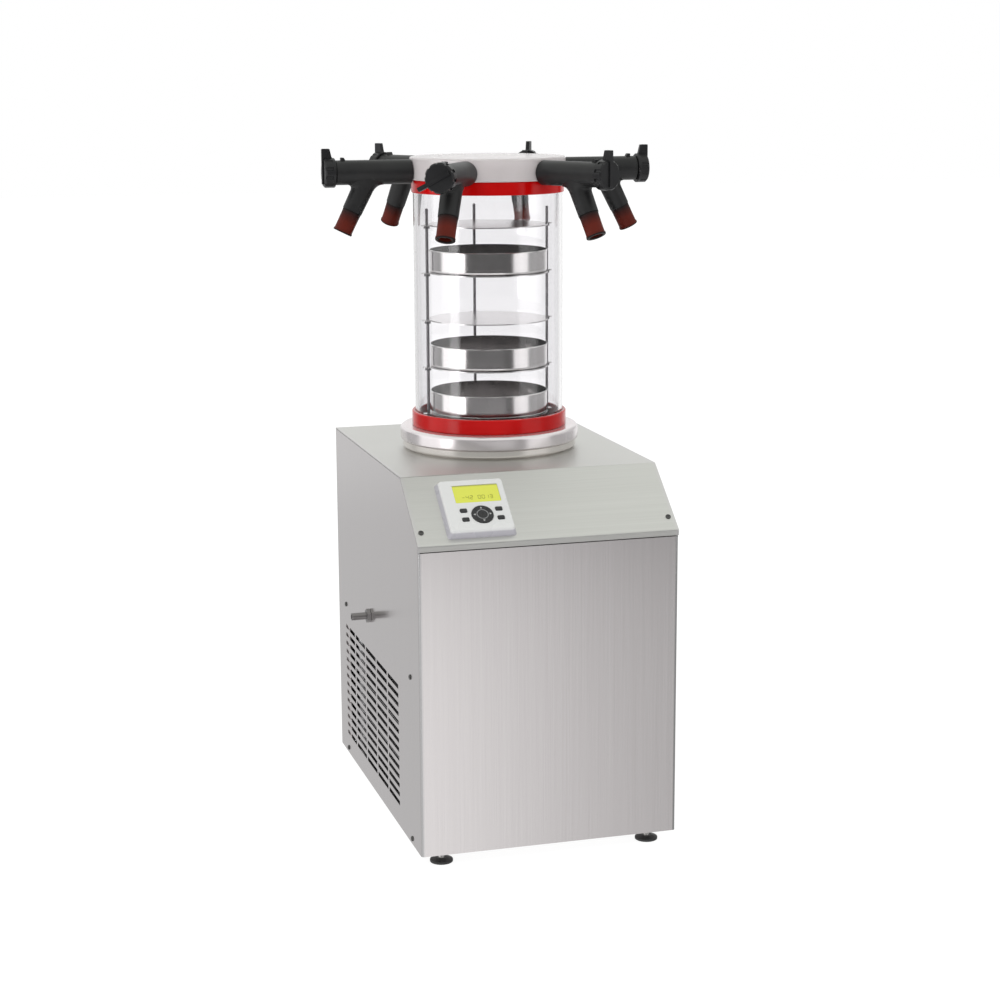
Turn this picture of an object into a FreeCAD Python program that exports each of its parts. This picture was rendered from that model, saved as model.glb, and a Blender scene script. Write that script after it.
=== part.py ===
"""Bench freeze dryer: a steel cabinet with the cooling plant, an ice condenser pot under its top, a clear
drying chamber with a shelf rack and trays, and a lid with six rubber flask valves.

Frame: millimetres, +X to the operator's right, -Y to the front, +Z up, origin on the bench under the middle
of the overall footprint.
"""
import FreeCAD, Part
import math
import os

V = FreeCAD.Vector
CUT = "bevel"               # marks a corner of an outline that is bevelled instead of rounded

# ---- cabinet ----
WIDTH = 345.0
DEPTH = 490.0
BODY_HEIGHT = 478.0
FOOT_HEIGHT = 17.0          # bench to the underside of the cabinet
SLOPE_DEPTH = 90.0          # the sloped console, front to back
SLOPE_DROP = 71.0
LIP = 8.0                   # hood's front lip below the slope
SHEET = 1.5
BEND = 2.5                  # inside radius of every fold
SEAM = 1.2                  # open seam between hood lip and front wall
FIT = 0.3                   # clearance between pieces that lie next to each other
RETURN = 18.0               # folded return under the hood
REAR_REACH = 22.0           # how far the vacuum port stands behind the rear panel

# ---- grille ----
GRILLE_FRONT = 114.5        # from the cabinet's front face
GRILLE_LENGTH = 334.0
GRILLE_BOTTOM = 26.0        # above the cabinet's underside
GRILLE_HEIGHT = 173.0
SLOT_ROWS = 14
SLOT_COLUMNS = 5
SLOT_LENGTH = 60.0
SLOT_HEIGHT = 6.0
VENT_ROWS = 6
VENT_LENGTH = 60.0

# ---- cabinet screws ----
SCREW_RADIUS = 1.9
SCREW_HEAD_RADIUS = 3.6
SCREW_HEAD = 2.0
SCREW_LENGTH = 7.0
SCREW_PLAY = 0.15
SIDE_SCREW_FRONT = 50.0     # from the front face
SIDE_SCREW_REAR = 49.0      # from the rear face
SIDE_SCREW_HEIGHTS = (7.5, 225.5)
SLOPE_SCREW_INSET = 8.5
SLOPE_SCREW_UP = 21.5

# ---- feet ----
FOOT_PAD_RADIUS = 15.0
FOOT_PAD_HEIGHT = 6.0
FOOT_STEM_RADIUS = 4.0
FOOT_STEM_ABOVE = 12.0      # stem above the base tray
FOOT_INSET_X = 32.0
FOOT_INSET_FRONT = 24.0
FOOT_INSET_REAR = 40.0
SHAFT_PLAY = 0.06           # radial running clearance of turning shafts

# ---- drying chamber ----
AXIS_BACK = 282.0           # chamber axis from the cabinet's front face
TUBE_RADIUS = 101.0
TUBE_WALL = 5.0
POT_WALL = 1.5
POT_DEPTH = 194.0           # below the cabinet top
POT_CORNER = 24.0
POT_DISH = 5.0              # middle of the pot's floor below its edge
POT_FLANGE = 3.0
POT_FLANGE_MARGIN = 6.0     # base ring beyond the pot's flange
COLLAR_MARGIN = 3.0         # base ring beyond the collar
COLLAR_HEIGHT = 12.4
COLLAR_ROOM = 2.0           # collar's bore round the pot
BASE_RING_MARGIN = 21.0     # base ring beyond the tube
BASE_RING_STEP = 20.0       # base ring inside the tube's bore
BASE_RING_HEIGHT = 16.0
LOWER_SEAL_HEIGHT = 20.0
LOWER_SEAL_SKIRT = 4.5
UPPER_SEAL_HEIGHT = 17.3
UPPER_SEAL_SKIRT = 2.0
SEAL_WEB = 4.0              # seal between the tube's end and the lid or base ring
SEAL_STEP = 3.0             # seal inside the tube's bore
SEAL_GAP = 0.2
CLEAR_LENGTH = 295.5        # tube seen between the two seals
LID_MARGIN = 4.0            # lid beyond the tube
LID_HEIGHT = 30.0
LID_TOP = 9.0
LID_WALL = 34.0
LID_LIP = 5.0

# ---- shelf rack ----
SHELF_COUNT = 5
SHELF_PITCH = 63.8
SHELF_CLEARANCE = 15.0      # shelf's edge to the tube's bore
SHELF_THICKNESS = 1.5
LOWEST_SHELF = 17.5         # above the base ring
ROD_RADIUS = 2.0
ROD_STANDOFF = 3.5          # rod's axis beyond the shelf's edge
ROD_ABOVE = 22.0            # rod above the top shelf
ROD_BEARINGS = (-90.0, 177.5, 90.0)
EAR_REACH = 6.5
EAR_WIDTH = 12.0
NUT_ACROSS = 7.0
NUT_HEIGHT = 3.2
TRAY_INSET = 0.5
TRAY_HEIGHT = 30.0
TRAY_WALL = 1.2
TRAY_BEAD = 1.8
TRAY_CORNER = 4.0           # outside radius round the tray's floor
TRAY_SHELVES = (0, 1, 3)    # shelves that carry a tray, counted from the lowest

# ---- flask valves ----
PORT_COUNT = 6
PORT_START = -91.5          # bearing of port 1 from the front, positive towards +X
VALVE_BELOW_LID_TOP = 19.0
NIPPLE_RADIUS = 8.0
NIPPLE_WALL = 1.5
NIPPLE_REACH = 28.0         # into the rubber, from the lid's wall
NIPPLE_PROUD = 1.0          # nipple's inner end to the lid's cavity
BARREL_RADIUS = 16.2
BARREL_LENGTH = 103.0
BRANCH_OUT = 55.5           # branch root from the lid wall
BRANCH_TILT = 26.5          # from the vertical, outwards
BRANCH_LENGTH = 88.0        # from the barrel axis to the sleeve's mouth
BRANCH_ROOT_RADIUS = 14.4
BRANCH_END_RADIUS = 12.8
BRANCH_BORE = 6.5
INNER_FILLET = 17.0
OUTER_FILLET = 4.0
SLEEVE_LENGTH = 31.0
SLEEVE_RADIUS = 12.6
SLEEVE_BORE = 8.5
SPIGOT_RADIUS = 10.4
SPIGOT_LENGTH = 11.0
PLUG_RADIUS = 9.0
PLUG_LENGTH = 60.0
PLUG_BORE = 5.0
KNOB_RADIUS = 19.5
KNOB_LENGTH = 15.0
KNOB_FLUTES = 10
FLUTE_RADIUS = 2.6
WING_TIP = 31.5             # above the barrel axis
WING_THICKNESS = 5.5
WING_WIDTH = 10.5
WING_PROUD = 2.0
WING_TURNS = (0.0, 118.0, 0.0, 0.0, 0.0, 0.0)   # how far each knob is turned at rest

# ---- control module on the slope ----
MODULE_X = -87.0
MODULE_UP = 53.0
MODULE_SIZE = 86.0
MODULE_TAPER = 4.0          # foot of the bezel beyond its mean size, and its front within it
MODULE_HEIGHT = 11.5
MODULE_WALL = 2.5
MODULE_CORNER = 4.0
PANEL_SHIFT = 3.8           # window and keys to the right of the module's middle
WINDOW_WIDTH = 60.0
WINDOW_HEIGHT = 29.0
WINDOW_UP = 18.0
WINDOW_SINK = 1.6
WINDOW_GLASS = 1.0
RING_UP = -17.4
RING_RADIUS = 14.0
HUB_RADIUS = 6.4
KEY_WIDTH = 9.0
KEY_HEIGHT = 6.0
KEY_OUT = 23.0
KEY_UPS = (-9.5, -24.0)
KEY_GAP = 0.3
KEY_PROUD = 1.2
KEY_FLANGE = 1.0
KEY_TRAVEL = 1.0
BOARD_DROP = 10.0

# ---- rear ----
INLET_X = 110.0
INLET_UP = 70.0
INLET_WIDTH = 31.0
INLET_HEIGHT = 52.0
INLET_FLANGE = 3.0
INLET_DEPTH = 22.0
INLET_RIM = 2.0             # inlet's flange beyond its body
SOCKET_DOWN = 12.0          # mains socket below the inlet's middle
PIN_LENGTH = 12.0
ROCKER_WIDTH = 13.0
ROCKER_LENGTH = 17.0
ROCKER_UP = 12.0
ROCKER_SINK = 6.0           # rocker pivot behind the rear face
ROCKER_ANGLE = 8.0
ROCKER_ROOM = 1.6           # recess beyond each end of the rocker, for its swing
VACUUM_RADIUS = 10.0
VACUUM_BORE = 8.0
VACUUM_FLANGE_RADIUS = 15.0
VACUUM_UP = 314.0           # above the cabinet's underside
DRAIN_RADIUS = 5.0
DRAIN_BORE = 3.0
DRAIN_UP = 248.5
DRAIN_REACH = 26.0
DRAIN_NUT = 17.0            # across the flats
DRAIN_NUT_HEIGHT = 5.0

# ---- cooling plant ----
COIL_RADIUS = 4.0           # half the height of the flattened evaporator tube
COIL_THICKNESS = 6.0
COIL_PITCH = 15.0
COIL_TURNS = 8
JACKET_FOAM = 28.0
JACKET_FLOOR = 12.0
CORE_THICKNESS = 24.0
CORE_HEIGHT = 190.0
CORE_ROWS = 11
SHROUD_DEPTH = 14.0
FAN_RADIUS = 72.0
FAN_BLADES = 5
FAN_HUB = 20.0
FAN_MIDDLE = 43.0           # radius of the blades' middle section
FAN_DEPTH = 20.0
COMPRESSOR_RADIUS = 72.0
COMPRESSOR_HEIGHT = 165.0
COMPRESSOR_WALL = 20.0      # compressor's foot plate to the right side wall
COMPRESSOR_FOOT = 5.0       # foot plate beyond the can
COMPRESSOR_BACK = 305.0
MOUNT_HEIGHT = 9.0

# ---- worked out from the above ----
Z_BODY = FOOT_HEIGHT
Z_TOP = Z_BODY + BODY_HEIGHT
Z_SLOPE = Z_TOP - SLOPE_DROP
Z_SEAM = Z_SLOPE - LIP
HALF = WIDTH / 2
Y_FRONT = -(DEPTH + REAR_REACH) / 2
Y_REAR = Y_FRONT + DEPTH
Y_BROW = Y_FRONT + SLOPE_DEPTH
Y_AXIS = Y_FRONT + AXIS_BACK
TUBE_BORE = TUBE_RADIUS - TUBE_WALL
BASE_RING_RADIUS = TUBE_RADIUS + BASE_RING_MARGIN
BASE_RING_BORE = TUBE_BORE - BASE_RING_STEP
COLLAR_RADIUS = BASE_RING_RADIUS - COLLAR_MARGIN
POT_FLANGE_RADIUS = BASE_RING_RADIUS - POT_FLANGE_MARGIN
POT_RADIUS = TUBE_BORE
SEAL_BORE = TUBE_BORE - SEAL_STEP
LID_RADIUS = TUBE_RADIUS + LID_MARGIN
LID_BORE = LID_RADIUS - LID_WALL
SHELF_RADIUS = TUBE_BORE - SHELF_CLEARANCE
ROD_CIRCLE = SHELF_RADIUS + ROD_STANDOFF
TRAY_RADIUS = SHELF_RADIUS - TRAY_INSET
SLOPE_ANGLE = math.degrees(math.atan2(SLOPE_DROP, SLOPE_DEPTH))
Z_COLLAR = Z_TOP
Z_FLANGE = Z_COLLAR + COLLAR_HEIGHT
Z_RING = Z_FLANGE + POT_FLANGE
Z_CHAMBER = Z_RING + BASE_RING_HEIGHT
Z_TUBE = Z_CHAMBER + SEAL_WEB
Z_UPPER_SEAL = Z_CHAMBER + LOWER_SEAL_HEIGHT + CLEAR_LENGTH
Z_LID = Z_UPPER_SEAL + UPPER_SEAL_HEIGHT
Z_VALVE = Z_LID + LID_HEIGHT - VALVE_BELOW_LID_TOP
Z_POT = Z_TOP - POT_DEPTH
PANEL_X = MODULE_X + PANEL_SHIFT
KEY_TOP = MODULE_HEIGHT + KEY_PROUD
FLANGE_TOP = MODULE_HEIGHT - MODULE_WALL - KEY_GAP / 2
FLANGE_BASE = FLANGE_TOP - KEY_FLANGE
VALVE_ROOT = LID_RADIUS + FIT
VALVE_END = VALVE_ROOT + BARREL_LENGTH
BRANCH_X = LID_RADIUS + BRANCH_OUT
TILT = math.radians(BRANCH_TILT)


# ---------------------------------------------------------------- helpers
def plane_xy(a, b):
    return V(a, b, 0)


def plane_xz(a, b):
    return V(a, 0, b)


def plane_yz(a, b):
    return V(0, a, b)


def outline(corners, plane):
    """Closed wire through (a, b) corners; (a, b, r) rounds one by an arc, (a, b, r, CUT) bevels it."""
    count = len(corners)
    points = [plane(corner[0], corner[1]) for corner in corners]
    stretches = []
    for i, corner in enumerate(corners):
        here = points[i]
        radius = corner[2] if len(corner) > 2 else 0
        if not radius:
            stretches.append((here, None, here))
            continue
        back = (points[i - 1] - here).normalize()
        ahead = (points[(i + 1) % count] - here).normalize()
        half = back.getAngle(ahead) / 2
        reach = radius / math.tan(half)
        inward = (back + ahead).normalize()
        middle = here + inward * (radius / math.sin(half) - radius)
        if CUT in corner:
            stretches.append((here + back * radius, None, here + back * radius))
            stretches.append((here + ahead * radius, None, here + ahead * radius))
            continue
        stretches.append((here + back * reach, middle, here + ahead * reach))
    count = len(stretches)
    edges = []
    for i, (start, middle, end) in enumerate(stretches):
        if middle is not None:
            edges.append(Part.Arc(start, middle, end).toShape())
        following = stretches[(i + 1) % count][0]
        if (following - end).Length > 1e-6:
            edges.append(Part.LineSegment(end, following).toShape())
    return Part.Wire(edges)


def prism(corners, plane, start, length):
    """Outline drawn in a plane, moved by start and extruded along length (vectors)."""
    face = Part.Face(outline(corners, plane))
    face.translate(start)
    return face.extrude(length)


def turned(corners, x=0.0, y=0.0):
    """Solid of revolution about the vertical through (x, y), from an (r, z, radius) outline."""
    face = Part.Face(outline(corners, plane_xz))
    solid = face.revolve(V(0, 0, 0), V(0, 0, 1), 360)
    solid.translate(V(x, y, 0))
    return solid


def box(x0, x1, y0, y1, z0, z1):
    return Part.makeBox(x1 - x0, y1 - y0, z1 - z0, V(x0, y0, z0))


def rounded_box(x0, x1, y0, y1, z0, z1, radius):
    corners = [(x0, y0, radius), (x1, y0, radius), (x1, y1, radius), (x0, y1, radius)]
    return prism(corners, plane_xy, V(0, 0, z0), V(0, 0, z1 - z0))


def rod(radius, start, axis, length):
    return Part.makeCylinder(radius, length, start, axis)


def pipe(outer, inner, start, axis, length):
    return rod(outer, start, axis, length).cut(rod(inner, start, axis, length))


def fuse(shapes):
    return shapes[0].multiFuse(shapes[1:]).removeSplitter()


def offset_path(path, distance):
    """The open path moved to its left by a distance, its corners mitred."""
    normals = []
    for (a0, b0), (a1, b1) in zip(path, path[1:]):
        length = math.hypot(a1 - a0, b1 - b0)
        normals.append((-(b1 - b0) / length, (a1 - a0) / length))
    moved = []
    for i, (a, b) in enumerate(path):
        first = normals[max(i - 1, 0)]
        second = normals[min(i, len(normals) - 1)]
        share = distance / (1 + first[0] * second[0] + first[1] * second[1])
        moved.append((a + (first[0] + second[0]) * share, b + (first[1] + second[1]) * share))
    return moved


def folded(path, plane, start, length):
    """Sheet of even thickness folded along an outer path that turns to its left."""
    ends = (0, len(path) - 1)
    skin = [(a, b, 0 if i in ends else BEND + SHEET) for i, (a, b) in enumerate(path)]
    inside = [(a, b, 0 if i in ends else BEND) for i, (a, b) in enumerate(offset_path(path, SHEET))]
    return prism(skin + inside[::-1], plane, start, length)


def hex_prism(across, height, x, y, z):
    radius = across / math.sqrt(3)
    corners = [(x + radius * math.cos(math.radians(60 * i)), y + radius * math.sin(math.radians(60 * i)))
               for i in range(6)]
    return prism(corners, plane_xy, V(0, 0, z), V(0, 0, height))


def bearing_vector(bearing):
    """Horizontal unit vector at a bearing from the front (-Y), positive towards +X."""
    angle = math.radians(bearing)
    return V(math.sin(angle), -math.cos(angle), 0)


def on_slope(shape):
    """Move a shape from the console's own frame (x, up the slope, outwards) to its place."""
    placed = shape.copy()
    placed.Placement = FreeCAD.Placement(
        V(0, Y_FRONT, Z_SLOPE), FreeCAD.Rotation(V(1, 0, 0), SLOPE_ANGLE)).multiply(shape.Placement)
    return placed


def at_port(shape, port):
    """Move a shape from a valve's own frame (+X outwards) to its port on the lid."""
    placed = shape.copy()
    turn = FreeCAD.Rotation(V(0, 0, 1), PORT_START + 60 * port - 90)
    placed.Placement = FreeCAD.Placement(V(0, Y_AXIS, Z_VALVE), turn).multiply(shape.Placement)
    return placed


def export(name, shapes):
    """Write one node: a single solid, or a group of separate solids."""
    shape = shapes if isinstance(shapes, Part.Shape) else Part.makeCompound(shapes)
    bad = [solid for solid in shape.Solids if not solid.isValid() or solid.Volume <= 0]
    if bad or not shape.Solids:
        raise ValueError(name + " is not a sound solid")
    shape.exportStep("parts/" + name + ".step")
    print(name, len(shape.Solids), round(shape.Volume))


# ---------------------------------------------------------------- cabinet
HOOD_PATH = [(Y_REAR, Z_TOP), (Y_BROW, Z_TOP), (Y_FRONT, Z_SLOPE), (Y_FRONT, Z_SEAM)]


def under_hood(gap):
    """Side outline of the space under the hood, a gap below its inner skin."""
    top = offset_path(HOOD_PATH, SHEET + gap)
    radius = max(BEND - gap, 0.5)
    return [(Y_FRONT, Z_BODY), (Y_REAR, Z_BODY), top[0], top[1] + (radius,), top[2] + (radius,),
            (top[3][0], Z_SEAM - SEAM), (Y_FRONT, Z_SEAM - SEAM)]


def side_screw_places():
    """(y, z) of the side screws, the same on both sides."""
    return [(y, Z_BODY + height) for y in (Y_FRONT + SIDE_SCREW_FRONT, Y_REAR - SIDE_SCREW_REAR)
            for height in SIDE_SCREW_HEIGHTS]


def slope_hole(x, up, radius):
    """Drill through the slope, square to it."""
    return on_slope(rod(radius, V(x, up, -10), V(0, 0, 1), 20))


def make_hood():
    hood = folded(HOOD_PATH, plane_yz, V(-HALF, 0, 0), V(WIDTH, 0, 0))
    pot_hole = rod(POT_RADIUS + 2, V(0, Y_AXIS, Z_TOP - 10), V(0, 0, 1), 20)
    half = MODULE_SIZE / 2 - MODULE_WALL - MODULE_TAPER
    cutout = box(MODULE_X - half, MODULE_X + half, MODULE_UP - half, MODULE_UP + half, -10, 10)
    cuts = [pot_hole, on_slope(cutout)]
    for side in (-1, 1):
        cuts.append(slope_hole(side * (HALF - SLOPE_SCREW_INSET), SLOPE_SCREW_UP,
                               SCREW_RADIUS + SCREW_PLAY))
    return hood.cut(Part.makeCompound(cuts))


def slot_places():
    """Middle of every grille slot as (y, z)."""
    step = GRILLE_LENGTH / SLOT_COLUMNS
    rise = GRILLE_HEIGHT / SLOT_ROWS
    return [(Y_FRONT + GRILLE_FRONT + (column + 0.5) * step, Z_BODY + GRILLE_BOTTOM + (row + 0.5) * rise)
            for row in range(SLOT_ROWS) for column in range(SLOT_COLUMNS)]


def make_wrap():
    path = [(-HALF, Y_REAR), (-HALF, Y_FRONT), (HALF, Y_FRONT), (HALF, Y_REAR)]
    wrap = folded(path, plane_xy, V(0, 0, Z_BODY), V(0, 0, BODY_HEIGHT))
    room = prism(under_hood(FIT), plane_yz, V(-HALF, 0, 0), V(WIDTH, 0, 0))
    wrap = wrap.common(room)
    rim = room.cut(prism(under_hood(FIT + SHEET), plane_yz, V(-HALF, 0, 0), V(WIDTH, 0, 0)))
    back = Y_FRONT + BEND + SHEET
    returns = []
    for side in (-1, 1):
        x0, x1 = sorted((side * (HALF - SHEET / 2), side * (HALF - RETURN)))
        returns.append(rim.common(box(x0, x1, back, Y_REAR, Z_SEAM, Z_TOP)))
    front_z = Z_SEAM - SEAM
    inner = HALF - SHEET / 2
    returns.append(box(-inner, inner, Y_FRONT + SHEET / 2, Y_FRONT + RETURN, front_z - SHEET, front_z))
    wrap = fuse([wrap] + returns)
    cuts = []
    for y, z in side_screw_places():
        cuts.append(rod(SCREW_RADIUS + SCREW_PLAY, V(-HALF - 1, y, z), V(1, 0, 0), WIDTH + 2))
    for side in (-1, 1):
        cuts.append(slope_hole(side * (HALF - SLOPE_SCREW_INSET), SLOPE_SCREW_UP,
                               SCREW_RADIUS + SCREW_PLAY))
    cuts.append(rod(DRAIN_RADIUS + 0.5, V(-HALF - 1, Y_AXIS, Z_BODY + DRAIN_UP), V(1, 0, 0), 10))
    for y, z in slot_places():
        cuts.append(Part.makeBox(SHEET + 2, SLOT_LENGTH, SLOT_HEIGHT,
                                 V(-HALF - 1, y - SLOT_LENGTH / 2, z - SLOT_HEIGHT / 2)))
    return wrap.cut(Part.makeCompound(cuts))


def make_rear_panel():
    edge = HALF - SHEET - FIT
    path = [(edge, Y_REAR - RETURN), (edge, Y_REAR), (-edge, Y_REAR), (-edge, Y_REAR - RETURN)]
    bottom = Z_BODY + SHEET + FIT
    top = Z_TOP - 2 * SHEET - 2 * FIT
    panel = folded(path, plane_xy, V(0, 0, bottom), V(0, 0, top - bottom))
    cuts = [rod(VACUUM_RADIUS + FIT, V(0, Y_REAR - 5, Z_BODY + VACUUM_UP), V(0, 1, 0), 10)]
    inset = 2.0
    z = Z_BODY + INLET_UP
    cuts.append(box(INLET_X - INLET_WIDTH / 2 + inset, INLET_X + INLET_WIDTH / 2 - inset,
                    Y_REAR - 5, Y_REAR + 5, z - INLET_HEIGHT / 2 + inset, z + INLET_HEIGHT / 2 - inset))
    rise = GRILLE_HEIGHT / SLOT_ROWS
    for row in range(VENT_ROWS):
        for column in range(3):
            x = (column - 1.6) * (VENT_LENGTH + 12)
            z = Z_BODY + BODY_HEIGHT - 60 - row * rise
            cuts.append(box(x, x + VENT_LENGTH, Y_REAR - 5, Y_REAR + 5, z, z + SLOT_HEIGHT))
    for y, z in side_screw_places():
        cuts.append(rod(SCREW_RADIUS + 1, V(-HALF, y, z), V(1, 0, 0), WIDTH))
    return panel.cut(Part.makeCompound(cuts))


def make_base_tray():
    edge = HALF - SHEET - FIT
    wall = 22.0
    path = [(-edge, Z_BODY + wall), (-edge, Z_BODY), (edge, Z_BODY), (edge, Z_BODY + wall)]
    y0 = Y_FRONT + SHEET + BEND
    y1 = Y_REAR - SHEET - FIT
    pan = folded(path, plane_xz, V(0, y0, 0), V(0, y1 - y0, 0))
    pieces = [pan.cut(box(-HALF, HALF, Y_REAR - RETURN - FIT, Y_REAR, Z_BODY + SHEET, Z_BODY + wall + 1))]
    tab = 14.0
    top = Z_BODY + SIDE_SCREW_HEIGHTS[1] + tab
    for y in (Y_FRONT + SIDE_SCREW_FRONT, Y_REAR - SIDE_SCREW_REAR):
        for x in (-edge, edge - SHEET):
            pieces.append(prism([(y - tab, Z_BODY + wall / 2), (y + tab, Z_BODY + wall / 2),
                                 (y + tab, top, 5), (y - tab, top, 5)],
                                plane_yz, V(x, 0, 0), V(SHEET, 0, 0)))
    tray = fuse(pieces)
    cuts = [rod(SCREW_RADIUS + SCREW_PLAY, V(-HALF, y, z), V(1, 0, 0), WIDTH)
            for y, z in side_screw_places()]
    cuts += [rod(FOOT_STEM_RADIUS + SHAFT_PLAY, V(x, y, Z_BODY - 5), V(0, 0, 1), 30)
             for x, y in foot_places()]
    return tray.cut(Part.makeCompound(cuts))


def screw(place, axis):
    """Pan-head screw whose head sits on a surface at place; axis points outwards."""
    body = turned([(0, SCREW_HEAD), (SCREW_HEAD_RADIUS * 0.6, SCREW_HEAD),
                   (SCREW_HEAD_RADIUS, SCREW_HEAD * 0.4), (SCREW_HEAD_RADIUS, 0),
                   (SCREW_RADIUS, 0), (SCREW_RADIUS, -SCREW_LENGTH), (0, -SCREW_LENGTH)])
    body.Placement = FreeCAD.Placement(place, FreeCAD.Rotation(V(0, 0, 1), axis))
    return body


def make_screws():
    screws = []
    for side in (-1, 1):
        for y, z in side_screw_places():
            screws.append(screw(V(side * HALF, y, z), V(side, 0, 0)))
        screws.append(on_slope(screw(V(side * (HALF - SLOPE_SCREW_INSET), SLOPE_SCREW_UP, 0), V(0, 0, 1))))
    return screws


def foot_places():
    return [(x, y) for y in (Y_FRONT + FOOT_INSET_FRONT, Y_REAR - FOOT_INSET_REAR)
            for x in (-HALF + FOOT_INSET_X, HALF - FOOT_INSET_X)]


def make_foot(x, y):
    """Moulded pad with its threaded steel stem."""
    top = Z_BODY + FOOT_STEM_ABOVE
    neck = FOOT_STEM_RADIUS + 3
    return turned([(0, 0), (FOOT_PAD_RADIUS, 0, 0.8, CUT), (FOOT_PAD_RADIUS, 3.4, 1.0, CUT),
                   (neck, FOOT_PAD_HEIGHT), (FOOT_STEM_RADIUS, FOOT_PAD_HEIGHT),
                   (FOOT_STEM_RADIUS, top - 1), (FOOT_STEM_RADIUS - 1, top), (0, top)], x, y)


# ---------------------------------------------------------------- chamber
def make_pot():
    inner = POT_RADIUS - POT_WALL
    centre = Z_POT - POT_DISH
    return turned([(DRAIN_BORE, centre), (POT_RADIUS, Z_POT, POT_CORNER), (POT_RADIUS, Z_FLANGE),
                   (POT_FLANGE_RADIUS, Z_FLANGE), (POT_FLANGE_RADIUS, Z_RING, 0.8, CUT),
                   (inner, Z_RING, 1.2, CUT), (inner, Z_POT + POT_WALL, POT_CORNER - POT_WALL),
                   (DRAIN_BORE, centre + POT_WALL)], 0, Y_AXIS)


def make_collar():
    bore = POT_RADIUS + COLLAR_ROOM
    return turned([(bore, Z_COLLAR), (COLLAR_RADIUS - 4, Z_COLLAR), (COLLAR_RADIUS, Z_COLLAR + 4, 3),
                   (COLLAR_RADIUS, Z_FLANGE, 1, CUT), (bore, Z_FLANGE)], 0, Y_AXIS)


def make_base_ring():
    """Moulded ring the chamber stands on; its rim hangs down round the pot's flange."""
    rebate = POT_FLANGE_RADIUS + FIT
    return turned([(BASE_RING_BORE, Z_RING, 1, CUT), (rebate, Z_RING), (rebate, Z_FLANGE + FIT),
                   (BASE_RING_RADIUS, Z_FLANGE + FIT, 1.5, CUT), (BASE_RING_RADIUS, Z_CHAMBER, 5),
                   (BASE_RING_BORE, Z_CHAMBER, 1.5, CUT)], 0, Y_AXIS)


def make_lower_seal():
    """Soft ring of L-section: its web lies under the tube and its skirt grips it outside."""
    web = Z_CHAMBER + SEAL_WEB
    skirt = TUBE_RADIUS + SEAL_GAP
    outer = TUBE_RADIUS + LOWER_SEAL_SKIRT
    top = Z_CHAMBER + LOWER_SEAL_HEIGHT
    return turned([(SEAL_BORE, Z_CHAMBER), (outer, Z_CHAMBER, 1, CUT), (outer, top, 1.2, CUT), (skirt, top),
                   (skirt, web), (SEAL_BORE, web, 1, CUT)], 0, Y_AXIS)


def make_tube():
    top = Z_LID - SEAL_WEB
    return turned([(TUBE_BORE, Z_TUBE, 0.6, CUT), (TUBE_RADIUS, Z_TUBE, 0.6, CUT),
                   (TUBE_RADIUS, top, 0.6, CUT), (TUBE_BORE, top, 0.6, CUT)], 0, Y_AXIS)


def make_upper_seal():
    web = Z_LID - SEAL_WEB
    skirt = TUBE_RADIUS + SEAL_GAP
    outer = TUBE_RADIUS + UPPER_SEAL_SKIRT
    return turned([(skirt, Z_UPPER_SEAL), (outer, Z_UPPER_SEAL, 0.8, CUT), (outer, Z_LID, 1, CUT),
                   (SEAL_BORE, Z_LID), (SEAL_BORE, web, 1, CUT), (skirt, web)], 0, Y_AXIS)


def make_lid():
    lip = SEAL_BORE - SEAL_GAP
    top = Z_LID + LID_HEIGHT
    lid = turned([(0, top), (0, top - LID_TOP), (LID_BORE, top - LID_TOP, 3, CUT),
                  (LID_BORE, Z_LID - LID_LIP), (lip, Z_LID - LID_LIP, 1, CUT), (lip, Z_LID),
                  (LID_RADIUS, Z_LID, 1.5, CUT), (LID_RADIUS, top, 2.5)], 0, Y_AXIS)
    hole = rod(NIPPLE_RADIUS + SEAL_GAP, V(LID_BORE - 8, 0, 0), V(1, 0, 0), LID_RADIUS)
    return lid.cut(Part.makeCompound([at_port(hole, port) for port in range(PORT_COUNT)]))


def make_nipple():
    start = LID_BORE + NIPPLE_PROUD
    return pipe(NIPPLE_RADIUS, NIPPLE_RADIUS - NIPPLE_WALL, V(start, 0, 0), V(1, 0, 0),
                LID_RADIUS + NIPPLE_REACH - start)


# ---------------------------------------------------------------- shelf rack
def shelf_tops():
    return [Z_CHAMBER + LOWEST_SHELF + i * SHELF_PITCH for i in range(SHELF_COUNT)]


def rod_places():
    return [bearing_vector(bearing) * ROD_CIRCLE + V(0, Y_AXIS, 0) for bearing in ROD_BEARINGS]


def make_rods():
    top = shelf_tops()[-1] + ROD_ABOVE
    return [turned([(0, Z_CHAMBER), (ROD_RADIUS, Z_CHAMBER), (ROD_RADIUS, top - 1), (ROD_RADIUS - 1, top),
                    (0, top)], place.x, place.y) for place in rod_places()]


def make_shelf(top):
    """Round plate with a rounded ear at each rod."""
    bottom = top - SHELF_THICKNESS
    reach = ROD_CIRCLE + EAR_REACH
    ear = prism([(SHELF_RADIUS - 20, -EAR_WIDTH / 2), (reach, -EAR_WIDTH / 2, EAR_WIDTH / 4),
                 (reach, EAR_WIDTH / 2, EAR_WIDTH / 4), (SHELF_RADIUS - 20, EAR_WIDTH / 2)],
                plane_xy, V(0, 0, bottom), V(0, 0, SHELF_THICKNESS))
    pieces = [rod(SHELF_RADIUS, V(0, Y_AXIS, bottom), V(0, 0, 1), SHELF_THICKNESS)]
    for bearing in ROD_BEARINGS:
        turn = FreeCAD.Rotation(V(0, 0, 1), bearing - 90)
        placed = ear.copy()
        placed.Placement = FreeCAD.Placement(V(0, Y_AXIS, 0), turn)
        pieces.append(placed)
    holes = [rod(ROD_RADIUS + SEAL_GAP, V(place.x, place.y, bottom - 1), V(0, 0, 1), SHELF_THICKNESS + 2)
             for place in rod_places()]
    return fuse(pieces).cut(Part.makeCompound(holes))


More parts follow.
